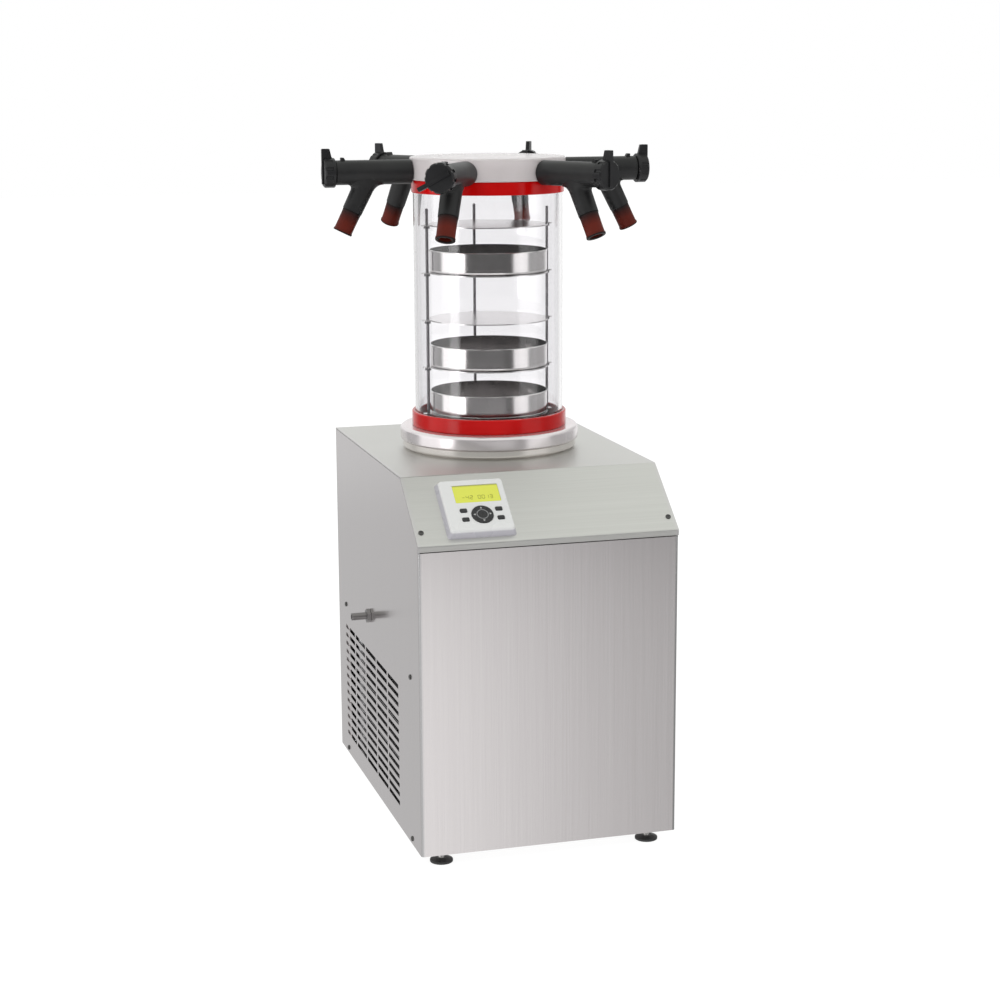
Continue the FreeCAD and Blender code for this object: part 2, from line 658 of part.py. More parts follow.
def make_nuts():
    """A clamping nut under every ear."""
    nuts = []
    for top in shelf_tops():
        z = top - SHELF_THICKNESS - NUT_HEIGHT
        for place in rod_places():
            nut = hex_prism(NUT_ACROSS, NUT_HEIGHT, place.x, place.y, z)
            nuts.append(nut.cut(rod(ROD_RADIUS + SEAL_GAP / 2, V(place.x, place.y, z - 1), V(0, 0, 1),
                                    NUT_HEIGHT + 2)))
    return nuts


def make_tray(z):
    """Pressed pan with a beaded rim."""
    wall = TRAY_RADIUS - TRAY_BEAD + TRAY_WALL
    inner = wall - TRAY_WALL
    top = z + TRAY_HEIGHT
    floor = z + TRAY_WALL
    return turned([(0, z), (wall, z, TRAY_CORNER), (wall, top - TRAY_BEAD), (TRAY_RADIUS, top - TRAY_BEAD),
                   (TRAY_RADIUS, top, 0.7, CUT), (inner, top), (inner, floor, TRAY_CORNER - TRAY_WALL),
                   (0, floor)], 0, Y_AXIS)


# ---------------------------------------------------------------- flask valves
def branch_point(distance):
    """Point on the branch's centre line, a distance from the barrel axis."""
    return V(BRANCH_X + distance * math.sin(TILT), 0, -distance * math.cos(TILT))


def branch_section(depth):
    """Level section of the branch at a depth below the barrel axis.

    The tube is inclined, so its section is an ellipse. Below the barrel its inner and outer sides
    run out into the barrel's underside along arcs of the two fillet radii.
    """
    sine, cosine = math.sin(TILT), math.cos(TILT)

    def radius(level):
        along = min(level / cosine / BRANCH_LENGTH, 1.2)
        return BRANCH_ROOT_RADIUS + (BRANCH_END_RADIUS - BRANCH_ROOT_RADIUS) * along

    def side(level, sign):
        """x of the straight side of the tube: sign -1 towards the lid, +1 outwards."""
        return BRANCH_X + level * sine / cosine + sign * radius(level) / cosine

    inner, outer = side(depth, -1), side(depth, 1)
    inner_centre = side(BARREL_RADIUS, -1) - INNER_FILLET * (1 - sine) / cosine
    outer_centre = side(BARREL_RADIUS, 1) + OUTER_FILLET * (1 + sine) / cosine
    inner_drop = max(BARREL_RADIUS + INNER_FILLET - depth, 0)
    outer_drop = max(BARREL_RADIUS + OUTER_FILLET - depth, 0)
    if depth <= BARREL_RADIUS:
        inner, outer = inner_centre, outer_centre
    else:
        if inner_drop > INNER_FILLET * sine:
            inner = inner_centre + math.sqrt(INNER_FILLET ** 2 - inner_drop ** 2)
        if depth < BARREL_RADIUS + OUTER_FILLET * (1 + sine):
            lift = BARREL_RADIUS + OUTER_FILLET - depth
            outer = outer_centre - math.sqrt(OUTER_FILLET ** 2 - lift ** 2)
    middle = V((inner + outer) / 2, 0, -depth)
    half_long = (outer - inner) / 2
    half_wide = radius(depth)
    ellipse = Part.Ellipse(middle, half_long, half_wide)
    return Part.Wire([ellipse.toShape()])


def make_valve_body():
    """Moulded rubber tee: barrel, inclined branch with blended root, spigot and stop lug."""
    barrel = turned([(0, VALVE_ROOT), (BARREL_RADIUS, VALVE_ROOT, 1, CUT),
                     (BARREL_RADIUS, VALVE_END, 1, CUT), (0, VALVE_END)])
    barrel.rotate(V(0, 0, 0), V(0, 1, 0), 90)
    depths = [0, BARREL_RADIUS]
    depths += [BARREL_RADIUS + INNER_FILLET * (1 - math.cos(math.radians(a))) for a in (15, 26, 38, 50, 62)]
    depths.append(BRANCH_LENGTH * 0.9)
    branch = Part.makeLoft([branch_section(depth) for depth in depths], True, True)
    tilt = FreeCAD.Rotation(V(0, 0, 1), V(math.sin(TILT), 0, -math.cos(TILT)))
    black = BRANCH_LENGTH - SLEEVE_LENGTH
    beyond = Part.makeBox(120, 120, 80, V(-60, -60, 0))
    beyond.Placement = FreeCAD.Placement(branch_point(black), tilt).multiply(beyond.Placement)
    branch = branch.cut(beyond)
    along = V(math.sin(TILT), 0, -math.cos(TILT))
    spigot = rod(SPIGOT_RADIUS, branch_point(black - 2), along, SPIGOT_LENGTH + 2)
    lug = prism([(VALVE_END - 15, BARREL_RADIUS - 2), (VALVE_END - 8, BARREL_RADIUS - 2),
                 (VALVE_END - 8, BARREL_RADIUS + 3.5, 1), (VALVE_END - 12, BARREL_RADIUS + 3.5, 1.5)],
                plane_xz, V(0, -3.5, 0), V(0, 7, 0))
    body = fuse([barrel, branch, spigot, lug])
    outwards = V(1, 0, 0)
    plug_start = VALVE_END - PLUG_LENGTH - FIT
    cuts = [rod(NIPPLE_RADIUS + SEAL_GAP, V(VALVE_ROOT - 1, 0, 0), outwards,
                LID_RADIUS + NIPPLE_REACH + FIT - VALVE_ROOT + 1),
            rod(PLUG_BORE, V(VALVE_ROOT, 0, 0), outwards, BARREL_LENGTH),
            rod(PLUG_RADIUS + SHAFT_PLAY, V(plug_start, 0, 0), outwards, PLUG_LENGTH + 5),
            rod(BRANCH_BORE, branch_point(0), along, BRANCH_LENGTH)]
    for cut in cuts:
        body = body.cut(cut)
    return body


def make_sleeve():
    """Tapered flask sleeve pushed over the branch's spigot, with a lip round its mouth."""
    mouth = SLEEVE_LENGTH
    step = SPIGOT_LENGTH + FIT
    sleeve = turned([(SPIGOT_RADIUS + SEAL_GAP, FIT), (BRANCH_END_RADIUS, FIT),
                     (SLEEVE_RADIUS, mouth - 3), (SLEEVE_RADIUS + 0.5, mouth - 2.4),
                     (SLEEVE_RADIUS + 0.5, mouth, 0.6, CUT), (SLEEVE_BORE, mouth), (SLEEVE_BORE, step),
                     (SPIGOT_RADIUS + SEAL_GAP, step)])
    tilt = FreeCAD.Rotation(V(0, 0, 1), V(math.sin(TILT), 0, -math.cos(TILT)))
    sleeve.Placement = FreeCAD.Placement(branch_point(BRANCH_LENGTH - SLEEVE_LENGTH), tilt)
    return sleeve


def make_plug(turn):
    """Turning plug with its fluted knob and raised wing, turned about the barrel axis at rest."""
    start = VALVE_END - PLUG_LENGTH
    face = VALVE_END + FIT
    rear = face + KNOB_LENGTH
    knob = turned([(0, start), (PLUG_RADIUS, start), (PLUG_RADIUS, face), (KNOB_RADIUS, face, 1, CUT),
                   (KNOB_RADIUS, rear, 2, CUT), (0, rear)])
    knob.rotate(V(0, 0, 0), V(0, 1, 0), 90)
    flutes = []
    for i in range(KNOB_FLUTES):
        angle = math.radians(360 * (i + 0.5) / KNOB_FLUTES)
        spot = V(face + 4, (KNOB_RADIUS + 1) * math.cos(angle), (KNOB_RADIUS + 1) * math.sin(angle))
        flutes.append(rod(FLUTE_RADIUS, spot, V(1, 0, 0), KNOB_LENGTH))
    knob = knob.cut(Part.makeCompound(flutes))
    outer = rear + WING_PROUD
    wing = prism([(face + 1.5, 0), (outer, -KNOB_RADIUS + 3, 1), (outer, WING_TIP, 1.2),
                  (outer - WING_WIDTH, WING_TIP, 1.5), (face + 4, KNOB_RADIUS + 1, 6),
                  (face + 1.5, KNOB_RADIUS - 2)],
                 plane_xz, V(0, -WING_THICKNESS / 2, 0), V(0, WING_THICKNESS, 0))
    plug = fuse([knob, wing])
    channel = rod(PLUG_BORE, V(start - 1, 0, 0), V(1, 0, 0), BRANCH_X - start + 6)
    port = rod(PLUG_BORE, V(BRANCH_X + 1, 0, 0), V(0, 0, -1), PLUG_RADIUS + 2)
    plug = plug.cut(channel).cut(port)
    plug.rotate(V(0, 0, 0), V(1, 0, 0), turn)
    return plug


# ---------------------------------------------------------------- control module
def rounded_square(size, height):
    left, right = MODULE_X - size / 2, MODULE_X + size / 2
    low, high = MODULE_UP - size / 2, MODULE_UP + size / 2
    corners = [(left, low, MODULE_CORNER), (right, low, MODULE_CORNER),
               (right, high, MODULE_CORNER), (left, high, MODULE_CORNER)]
    wire = outline(corners, plane_xy)
    wire.translate(V(0, 0, height))
    return wire


def panel_rect(x, up, width, height, z0, z1, radius):
    """Rounded plate about a point of the slope."""
    return rounded_box(x - width / 2, x + width / 2, up - height / 2, up + height / 2, z0, z1, radius)


def key_places():
    return [(PANEL_X + side * KEY_OUT, MODULE_UP + up) for side in (-1, 1) for up in KEY_UPS]


def make_housing():
    """Tapered bezel: shell with window pocket, key holes and the round hole for the ring of keys."""
    shell = Part.makeLoft([rounded_square(MODULE_SIZE + MODULE_TAPER, 0),
                           rounded_square(MODULE_SIZE - MODULE_TAPER, MODULE_HEIGHT)], True, True)
    front = shell.Faces[0]
    for face in shell.Faces:
        if face.CenterOfMass.z > front.CenterOfMass.z:
            front = face
    shell = shell.makeFillet(1.2, front.Edges)
    inside = MODULE_SIZE - 2 * MODULE_WALL - 2 * MODULE_TAPER
    beyond = MODULE_HEIGHT + 1
    cuts = [panel_rect(MODULE_X, MODULE_UP, inside, inside, -1, MODULE_HEIGHT - MODULE_WALL, 2),
            panel_rect(PANEL_X, MODULE_UP + WINDOW_UP, WINDOW_WIDTH, WINDOW_HEIGHT,
                       MODULE_HEIGHT - WINDOW_SINK, beyond, 1.5),
            rod(RING_RADIUS + KEY_GAP, V(PANEL_X, MODULE_UP + RING_UP, 0), V(0, 0, 1), beyond)]
    for x, up in key_places():
        cuts.append(panel_rect(x, up, KEY_WIDTH + 2 * KEY_GAP, KEY_HEIGHT + 2 * KEY_GAP, 0, beyond, 1.8))
    return shell.cut(Part.makeCompound(cuts))


def make_window():
    base = MODULE_HEIGHT - WINDOW_SINK
    width, height = WINDOW_WIDTH - 2 * KEY_GAP, WINDOW_HEIGHT - 2 * KEY_GAP
    return panel_rect(PANEL_X, MODULE_UP + WINDOW_UP, width, height, base, base + WINDOW_GLASS, 1.2)


def make_function_key(x, up):
    cap = panel_rect(x, up, KEY_WIDTH, KEY_HEIGHT, FLANGE_BASE, KEY_TOP, 1.5)
    top = [edge for edge in cap.Edges if edge.BoundBox.ZMin > KEY_TOP - 1e-3]
    cap = cap.makeFillet(0.4, top)
    return fuse([cap, panel_rect(x, up, KEY_WIDTH + 2, KEY_HEIGHT + 2, FLANGE_BASE, FLANGE_TOP, 1)])


def make_arrow_key(quarter):
    """Quarter of the key ring, with a flange behind the front plate."""
    centre = V(PANEL_X, MODULE_UP + RING_UP, 0)

    def sector(outer, base, top):
        ring = pipe(outer, HUB_RADIUS + 2 * KEY_GAP, V(0, 0, base), V(0, 0, 1), top - base)
        reach = RING_RADIUS * 2
        wedge = prism([(KEY_GAP * math.sqrt(2), 0), (reach, reach), (reach, -reach)], plane_xy,
                      V(0, 0, base - 1), V(0, 0, top - base + 2))
        return ring.common(wedge)

    key = fuse([sector(RING_RADIUS, FLANGE_BASE, KEY_TOP),
                sector(RING_RADIUS + 1.3, FLANGE_BASE, FLANGE_TOP)])
    key.rotate(V(0, 0, 0), V(0, 0, 1), 90 * quarter)
    key.translate(centre)
    return key


def make_centre_key():
    return turned([(0, FLANGE_BASE), (HUB_RADIUS, FLANGE_BASE), (HUB_RADIUS, KEY_TOP, 0.6), (2.2, KEY_TOP),
                   (1.8, KEY_TOP - 0.4), (0, KEY_TOP - 0.4)], PANEL_X, MODULE_UP + RING_UP)


def make_board():
    """Circuit board behind the module, on four posts from the hood's inner skin."""
    half = MODULE_SIZE / 2 + 6
    back = -SHEET - BOARD_DROP
    board = panel_rect(MODULE_X, MODULE_UP, 2 * half, 2 * half - 12, back - 1.6, back, 1)
    posts = [rod(2.5, V(MODULE_X + sx * (half - 3), MODULE_UP + sy * (half - 12), back - 0.5), V(0, 0, 1),
                 BOARD_DROP + 0.5) for sx in (-1, 1) for sy in (-1, 1)]
    return fuse([board] + posts)


# ---------------------------------------------------------------- rear connections
def make_inlet():
    """Moulded mains module: appliance inlet with three pins below, rocker recess above."""
    z = Z_BODY + INLET_UP
    half_w, half_h = INLET_WIDTH / 2, INLET_HEIGHT / 2
    inset = INLET_RIM + FIT
    corners = [(INLET_X - half_w, z - half_h, 2), (INLET_X + half_w, z - half_h, 2),
               (INLET_X + half_w, z + half_h, 2), (INLET_X - half_w, z + half_h, 2)]
    flange = prism(corners, plane_xz, V(0, Y_REAR, 0), V(0, INLET_FLANGE, 0))
    body = box(INLET_X - half_w + inset, INLET_X + half_w - inset, Y_REAR - INLET_DEPTH, Y_REAR + 1,
               z - half_h + inset, z + half_h - inset)
    module = fuse([flange, body])
    socket = z - SOCKET_DOWN
    recess = prism([(INLET_X - 12, socket - 8), (INLET_X + 12, socket - 8), (INLET_X + 12, socket + 3.5),
                    (INLET_X + 7.5, socket + 8), (INLET_X - 7.5, socket + 8), (INLET_X - 12, socket + 3.5)],
                   plane_xz, V(0, Y_REAR + INLET_FLANGE - 17, 0), V(0, 20, 0))
    rocker_w, rocker_h = ROCKER_WIDTH / 2 + FIT, ROCKER_LENGTH / 2 + ROCKER_ROOM
    rocker = box(INLET_X - rocker_w, INLET_X + rocker_w, Y_REAR - 12, Y_REAR + 5,
                 z + ROCKER_UP - rocker_h, z + ROCKER_UP + rocker_h)
    module = module.cut(Part.makeCompound([recess, rocker]))
    bottom = Y_REAR + INLET_FLANGE - 18
    pins = [box(INLET_X + dx - 1, INLET_X + dx + 1, bottom, bottom + PIN_LENGTH,
                socket + dz - 2.5, socket + dz + 2.5) for dx, dz in ((-7, -1), (7, -1), (0, 2))]
    return fuse([module] + pins)


def make_rocker():
    """Rocker that turns about a level axis behind the rear face."""
    z = Z_BODY + INLET_UP + ROCKER_UP
    half = ROCKER_LENGTH / 2
    face = ROCKER_SINK + INLET_FLANGE + 0.5
    rocker = prism([(-4.5, -half + 3), (face - 1, -half), (face, -half + 1, 0.6), (face - 1.2, 0, 6),
                    (face, half - 1, 0.6), (face - 1, half), (-4.5, half - 3)],
                   plane_yz, V(INLET_X - ROCKER_WIDTH / 2, 0, 0), V(ROCKER_WIDTH, 0, 0))
    rocker.rotate(V(0, 0, 0), V(1, 0, 0), ROCKER_ANGLE)
    rocker.translate(V(0, Y_REAR - ROCKER_SINK, z))
    return rocker


def make_vacuum_port():
    """Suction pipe from the pot to a clamping flange behind the rear panel."""
    z = Z_BODY + VACUUM_UP
    start = Y_AXIS + POT_RADIUS - 1
    end = Y_REAR + REAR_REACH
    tube = rod(VACUUM_RADIUS, V(0, start, z), V(0, 1, 0), end - start - 1)
    flange = Part.makeCone(VACUUM_FLANGE_RADIUS - 2, VACUUM_FLANGE_RADIUS, 2, V(0, end - 5, z), V(0, 1, 0))
    rim = rod(VACUUM_FLANGE_RADIUS, V(0, end - 3, z), V(0, 1, 0), 3)
    port = fuse([tube, flange, rim]).cut(rod(VACUUM_BORE, V(0, start - 1, z), V(0, 1, 0), end - start + 2))
    return port.cut(rod(POT_RADIUS + FIT, V(0, Y_AXIS, z - 20), V(0, 0, 1), 40))


def make_drain():
    """Drain pipe from the pot's floor to the nozzle on the left side, with its panel nut."""
    z = Z_BODY + DRAIN_UP
    top = Z_POT - POT_DISH
    bend = top - z
    far = -HALF - DRAIN_REACH
    middle = V(-bend * (1 - math.sqrt(0.5)), Y_AXIS, top - bend * math.sqrt(0.5))
    path = Part.Wire([Part.Arc(V(0, Y_AXIS, top), middle, V(-bend, Y_AXIS, z)).toShape(),
                      Part.LineSegment(V(-bend, Y_AXIS, z), V(far, Y_AXIS, z)).toShape()])
    runs = []
    for radius in (DRAIN_RADIUS, DRAIN_BORE):
        circle = Part.Wire([Part.Circle(V(0, Y_AXIS, top), V(0, 0, 1), radius).toShape()])
        runs.append(path.makePipeShell([circle], True, False))
    nut = hex_prism(DRAIN_NUT, DRAIN_NUT_HEIGHT, 0, 0, 0)
    nut.Placement = FreeCAD.Placement(V(-HALF - FIT, Y_AXIS, z), FreeCAD.Rotation(V(0, 0, 1), V(-1, 0, 0)))
    return fuse([runs[0], nut]).cut(runs[1])


# ---------------------------------------------------------------- cooling plant
COIL_LOW = Z_BODY + VACUUM_UP + VACUUM_RADIUS + COIL_RADIUS + 3
COIL_INNER = POT_RADIUS + FIT
COIL_OUTER = COIL_INNER + COIL_THICKNESS
JACKET_RADIUS = COIL_OUTER + FIT + JACKET_FOAM


def make_coil():
    """Evaporator tube wound round the pot, flattened where it lies against it."""
    helix = Part.makeHelix(COIL_PITCH, COIL_PITCH * COIL_TURNS, (COIL_INNER + COIL_OUTER) / 2)
    section = outline([(COIL_INNER, -COIL_RADIUS), (COIL_OUTER, -COIL_RADIUS, 2, CUT),
                       (COIL_OUTER, COIL_RADIUS, 2, CUT), (COIL_INNER, COIL_RADIUS)], plane_xz)
    coil = Part.Wire(helix.Edges).makePipeShell([section], True, True)
    coil.translate(V(0, Y_AXIS, COIL_LOW))
    return coil


def make_jacket():
    """Foam jacket round the pot and its coil, with holes for the suction and drain pipes."""
    inner = COIL_OUTER + FIT
    floor = Z_POT - POT_DISH - FIT
    jacket = turned([(0, floor - JACKET_FLOOR), (JACKET_RADIUS, floor - JACKET_FLOOR),
                     (JACKET_RADIUS, Z_TOP - SHEET - FIT), (inner, Z_TOP - SHEET - FIT), (inner, floor),
                     (0, floor)], 0, Y_AXIS)
    cuts = [rod(VACUUM_RADIUS + FIT, V(0, Y_AXIS, Z_BODY + VACUUM_UP), V(0, 1, 0), JACKET_RADIUS + 5),
            box(-DRAIN_UP, DRAIN_RADIUS + 2, Y_AXIS - DRAIN_RADIUS - 2, Y_AXIS + DRAIN_RADIUS + 2,
                floor - JACKET_FLOOR - 1, floor + 1)]
    return jacket.cut(Part.makeCompound(cuts))


CORE_OUTER = HALF - 2 * SHEET - BEND - 2 * FIT
CORE_INNER = CORE_OUTER - CORE_THICKNESS
CORE_FRONT = Y_FRONT + SIDE_SCREW_FRONT + 30
CORE_REAR = Y_REAR - SIDE_SCREW_REAR - 30
Z_FLOOR = Z_BODY + SHEET


def make_condenser():
    """Air-cooled condenser behind the left grille: flat tubes between two header pipes, in a frame."""
    top = Z_FLOOR + CORE_HEIGHT
    pieces = []
    middle = -(CORE_OUTER + CORE_INNER) / 2
    for y in (CORE_FRONT + 10, CORE_REAR - 10):
        pieces.append(rod(9, V(middle, y, Z_FLOOR), V(0, 0, 1), CORE_HEIGHT))
    pieces.append(box(-CORE_OUTER, -CORE_INNER, CORE_FRONT, CORE_REAR, Z_FLOOR, Z_FLOOR + 2))
    pieces.append(box(-CORE_OUTER, -CORE_INNER, CORE_FRONT, CORE_REAR, top - 2, top))
    for row in range(CORE_ROWS):
        z = Z_FLOOR + (row + 0.9) * CORE_HEIGHT / (CORE_ROWS + 0.8)
        pieces.append(box(middle - 8, middle + 8, CORE_FRONT + 10, CORE_REAR - 10, z - 1, z + 1))
    return fuse(pieces)


FAN_X = -CORE_INNER + SHROUD_DEPTH
FAN_Y = (CORE_FRONT + CORE_REAR) / 2
FAN_Z = Z_FLOOR + CORE_HEIGHT / 2 + 6


def make_shroud():
    """Fan plate with its round mouth, three struts and the motor."""
    plate = box(-CORE_INNER, FAN_X, CORE_FRONT, CORE_REAR, Z_FLOOR, Z_FLOOR + CORE_HEIGHT)
    hollow = box(-CORE_INNER - 1, FAN_X - SHEET, CORE_FRONT + SHEET, CORE_REAR - SHEET,
                 Z_FLOOR + SHEET, Z_FLOOR + CORE_HEIGHT - SHEET)
    mouth = rod(FAN_RADIUS + 3, V(FAN_X - 5, FAN_Y, FAN_Z), V(1, 0, 0), 10)
    plate = plate.cut(hollow).cut(mouth)
    ring = pipe(FAN_RADIUS + 3 + SHEET, FAN_RADIUS + 3, V(FAN_X - SHEET, FAN_Y, FAN_Z), V(1, 0, 0),
                FAN_DEPTH + SHEET)
    motor_start = FAN_X + FAN_DEPTH + 1
    motor = rod(FAN_HUB + 4, V(motor_start, FAN_Y, FAN_Z), V(1, 0, 0), 34)
    shaft = rod(3, V(FAN_X + 2, FAN_Y, FAN_Z), V(1, 0, 0), FAN_DEPTH)
    struts = []
    for i in range(3):
        strut = box(0, 3, -4, 4, 0, FAN_RADIUS + 3 + SHEET)
        strut.rotate(V(0, 0, 0), V(1, 0, 0), 120 * i)
        strut.translate(V(FAN_X + FAN_DEPTH, FAN_Y, FAN_Z))
        struts.append(strut)
    return fuse([plate, ring, motor, shaft] + struts)


def make_fan():
    """Hub with twisted blades, running on the motor's shaft."""
    width = FAN_DEPTH - 6
    hub = rod(FAN_HUB, V(0, 0, 0), V(1, 0, 0), width)
    pieces = [hub]
    for i in range(FAN_BLADES):
        sections = []
        for radius, pitch, chord in ((FAN_HUB - 3, 58, 16), (FAN_MIDDLE, 66, 24), (FAN_RADIUS, 72, 30)):
            angle = math.radians(pitch)
            half = min(chord / 2, (width / 2 - 1) / math.cos(angle))
            du, dw = half * math.cos(angle), half * math.sin(angle)
            low, high = width / 2 - du, width / 2 + du
            corners = [V(low, -dw, radius), V(high, dw, radius),
                       V(high + 0.6, dw - 1.2, radius), V(low + 0.6, -dw - 1.2, radius)]
            sections.append(Part.makePolygon(corners + corners[:1]))
        blade = Part.makeLoft(sections, True, True)
        blade.rotate(V(0, 0, 0), V(1, 0, 0), 360 * i / FAN_BLADES)
        pieces.append(blade)
    fan = fuse(pieces).cut(rod(3 + SHAFT_PLAY, V(-1, 0, 0), V(1, 0, 0), width + 2))
    fan.translate(V(FAN_X + 4, FAN_Y, FAN_Z))
    return fan


COMPRESSOR_X = HALF - SHEET - COMPRESSOR_WALL - COMPRESSOR_FOOT - COMPRESSOR_RADIUS
COMPRESSOR_Y = Y_FRONT + COMPRESSOR_BACK


def make_compressor():
    """Sealed compressor can with its foot plate."""
    z = Z_FLOOR + MOUNT_HEIGHT
    band = COMPRESSOR_RADIUS + 3
    can = turned([(0, z), (COMPRESSOR_RADIUS * 0.8, z, 8), (COMPRESSOR_RADIUS, z + 30, 12),
                  (COMPRESSOR_RADIUS, z + 95), (band, z + 95), (band, z + 99), (COMPRESSOR_RADIUS, z + 99),
                  (COMPRESSOR_RADIUS, z + COMPRESSOR_HEIGHT - 12, 22),
                  (COMPRESSOR_RADIUS * 0.4, z + COMPRESSOR_HEIGHT, 20), (0, z + COMPRESSOR_HEIGHT)],
                 COMPRESSOR_X, COMPRESSOR_Y)
    half = COMPRESSOR_RADIUS + COMPRESSOR_FOOT
    foot = rounded_box(COMPRESSOR_X - half, COMPRESSOR_X + half, COMPRESSOR_Y - half, COMPRESSOR_Y + half,
                       z, z + 3, 12)
    return fuse([can, foot])


def make_mounts():
    half = COMPRESSOR_RADIUS - 7
    return [turned([(4, Z_FLOOR), (10, Z_FLOOR), (9, Z_FLOOR + MOUNT_HEIGHT), (4, Z_FLOOR + MOUNT_HEIGHT)],
                   COMPRESSOR_X + sx * half, COMPRESSOR_Y + sy * half) for sx in (-1, 1) for sy in (-1, 1)]


def bent_tube(points, radius, bend):
    """Tube along straight runs joined by tangent arcs of one radius."""
    edges = []
    last = points[0]
    for i in range(1, len(points) - 1):
        here = points[i]
        back = (points[i - 1] - here).normalize()
        ahead = (points[i + 1] - here).normalize()
        half = back.getAngle(ahead) / 2
        reach = bend / math.tan(half)
        start, end = here + back * reach, here + ahead * reach
        middle = here + (back + ahead).normalize() * (bend / math.sin(half) - bend)
        edges.append(Part.LineSegment(last, start).toShape())
        edges.append(Part.Arc(start, middle, end).toShape())
        last = end
    edges.append(Part.LineSegment(last, points[-1]).toShape())
    along = (points[1] - points[0]).normalize()
    circle = Part.Wire([Part.Circle(points[0], along, radius).toShape()])
    return Part.Wire(edges).makePipeShell([circle], True, False)


def make_lines():
    """Discharge line to the condenser, and liquid line with the filter drier."""
    lid = Z_FLOOR + MOUNT_HEIGHT + COMPRESSOR_HEIGHT
    header_x = -(CORE_OUTER + CORE_INNER) / 2
    top = Z_FLOOR + CORE_HEIGHT
    high = Z_POT - POT_DISH - FIT - JACKET_FLOOR - 12
    discharge = bent_tube([V(COMPRESSOR_X - 10, COMPRESSOR_Y, lid), V(COMPRESSOR_X - 10, COMPRESSOR_Y, high),
                           V(header_x, COMPRESSOR_Y, high), V(header_x, CORE_REAR - 10, high),
                           V(header_x, CORE_REAR - 10, top)], 3.0, 9.0)
    drier_z = Z_FLOOR + 40
    liquid = bent_tube([V(header_x, CORE_FRONT + 10, top), V(header_x, CORE_FRONT + 10, high),
                        V(header_x + 60, CORE_FRONT + 10, high), V(header_x + 60, CORE_FRONT + 10, drier_z + 70)],
                       3.0, 9.0)
    drier = rod(11, V(header_x + 60, CORE_FRONT + 10, drier_z), V(0, 0, 1), 70)
    leg = rod(3, V(header_x + 60, CORE_FRONT + 10, Z_FLOOR), V(0, 0, 1), 41)
    return [discharge, fuse([liquid, drier, leg])]


# ---------------------------------------------------------------- build
def main():
    os.makedirs("parts", exist_ok=True)
    export("hood", make_hood())
    export("cabinet_wrap", make_wrap())
    export("rear_panel", make_rear_panel())
    export("base_tray", make_base_tray())
    export("cabinet_screws", make_screws())
    for i, (x, y) in enumerate(foot_places()):
        export("foot_%d" % (i + 1), make_foot(x, y))
    export("condenser_pot", make_pot())
    export("flange_collar", make_collar())
    export("base_ring", make_base_ring())
    export("lower_seal", make_lower_seal())
    export("chamber_tube", make_tube())
    export("upper_seal", make_upper_seal())
    export("manifold_lid", make_lid())
    export("rack_rods", make_rods())
    export("rack_shelves", [make_shelf(top) for top in shelf_tops()])
    export("rack_nuts", make_nuts())
    for i, shelf in enumerate(TRAY_SHELVES):
        export("tray_%d" % (i + 1), make_tray(shelf_tops()[shelf]))
    nipple, body, sleeve = make_nipple(), make_valve_body(), make_sleeve()
    ports = range(PORT_COUNT)
    export("port_nipples", [at_port(nipple, port) for port in ports])
    export("flask_sleeves", [at_port(sleeve, port) for port in ports])
    for port in ports:
        export("valve_body_%d" % (port + 1), at_port(body, port))
        export("valve_plug_%d" % (port + 1), at_port(make_plug(WING_TURNS[port]), port))
    export("display_housing", on_slope(make_housing()))
    export("display_window", on_slope(make_window()))
    for i, (x, up) in enumerate(key_places()):
        export("function_key_%d" % (i + 1), on_slope(make_function_key(x, up)))
    for quarter, name in enumerate(("right", "up", "left", "down")):
        export("arrow_key_" + name, on_slope(make_arrow_key(quarter)))
    export("centre_key", on_slope(make_centre_key()))
    export("control_board", on_slope(make_board()))
    export("mains_inlet", make_inlet())
    export("mains_switch", make_rocker())
    export("vacuum_port", make_vacuum_port())
    export("drain_nozzle", make_drain())
    export("evaporator_coil", make_coil())
    export("insulation_jacket", make_jacket())
    export("air_condenser", make_condenser())
    export("fan_shroud", make_shroud())
    export("fan_rotor", make_fan())
    export("compressor", make_compressor())
    export("compressor_mounts", make_mounts())
    export("refrigerant_lines", make_lines())


main()
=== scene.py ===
"""Looks of a bench freeze dryer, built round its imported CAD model.

Every length is in metres. New pieces are surfaces worked out on numpy grids, and their places come from the
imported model's own boxes and from the sizes held in each sub-assembly's class.
"""
import functools
import logging
import math
from dataclasses import dataclass, replace
from enum import Enum
from typing import Sequence

import bmesh
import bpy
import numpy as np
from bpy.types import ID, Material, Mesh, Node, NodeSocket, NodeTree, Object, World
from mathutils import Matrix, Vector


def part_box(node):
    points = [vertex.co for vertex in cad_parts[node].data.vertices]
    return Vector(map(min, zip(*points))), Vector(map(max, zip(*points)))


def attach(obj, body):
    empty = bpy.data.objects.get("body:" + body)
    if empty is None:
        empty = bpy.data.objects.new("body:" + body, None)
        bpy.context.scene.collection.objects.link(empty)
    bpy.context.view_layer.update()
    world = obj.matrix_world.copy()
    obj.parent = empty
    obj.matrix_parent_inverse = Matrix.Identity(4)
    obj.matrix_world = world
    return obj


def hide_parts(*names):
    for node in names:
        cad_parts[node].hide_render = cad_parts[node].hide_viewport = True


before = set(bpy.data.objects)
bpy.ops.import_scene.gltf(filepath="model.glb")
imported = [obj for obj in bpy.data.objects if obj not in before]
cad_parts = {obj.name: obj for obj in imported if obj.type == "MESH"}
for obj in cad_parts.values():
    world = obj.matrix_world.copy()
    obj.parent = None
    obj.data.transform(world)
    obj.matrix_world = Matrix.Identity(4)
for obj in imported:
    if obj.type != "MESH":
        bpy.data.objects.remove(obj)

log = logging.getLogger("freeze_dryer")
MM = 0.001
AXIS_Y = 26 * MM
Color = tuple[float, float, float]
Stops = tuple[tuple[float, float], ...]
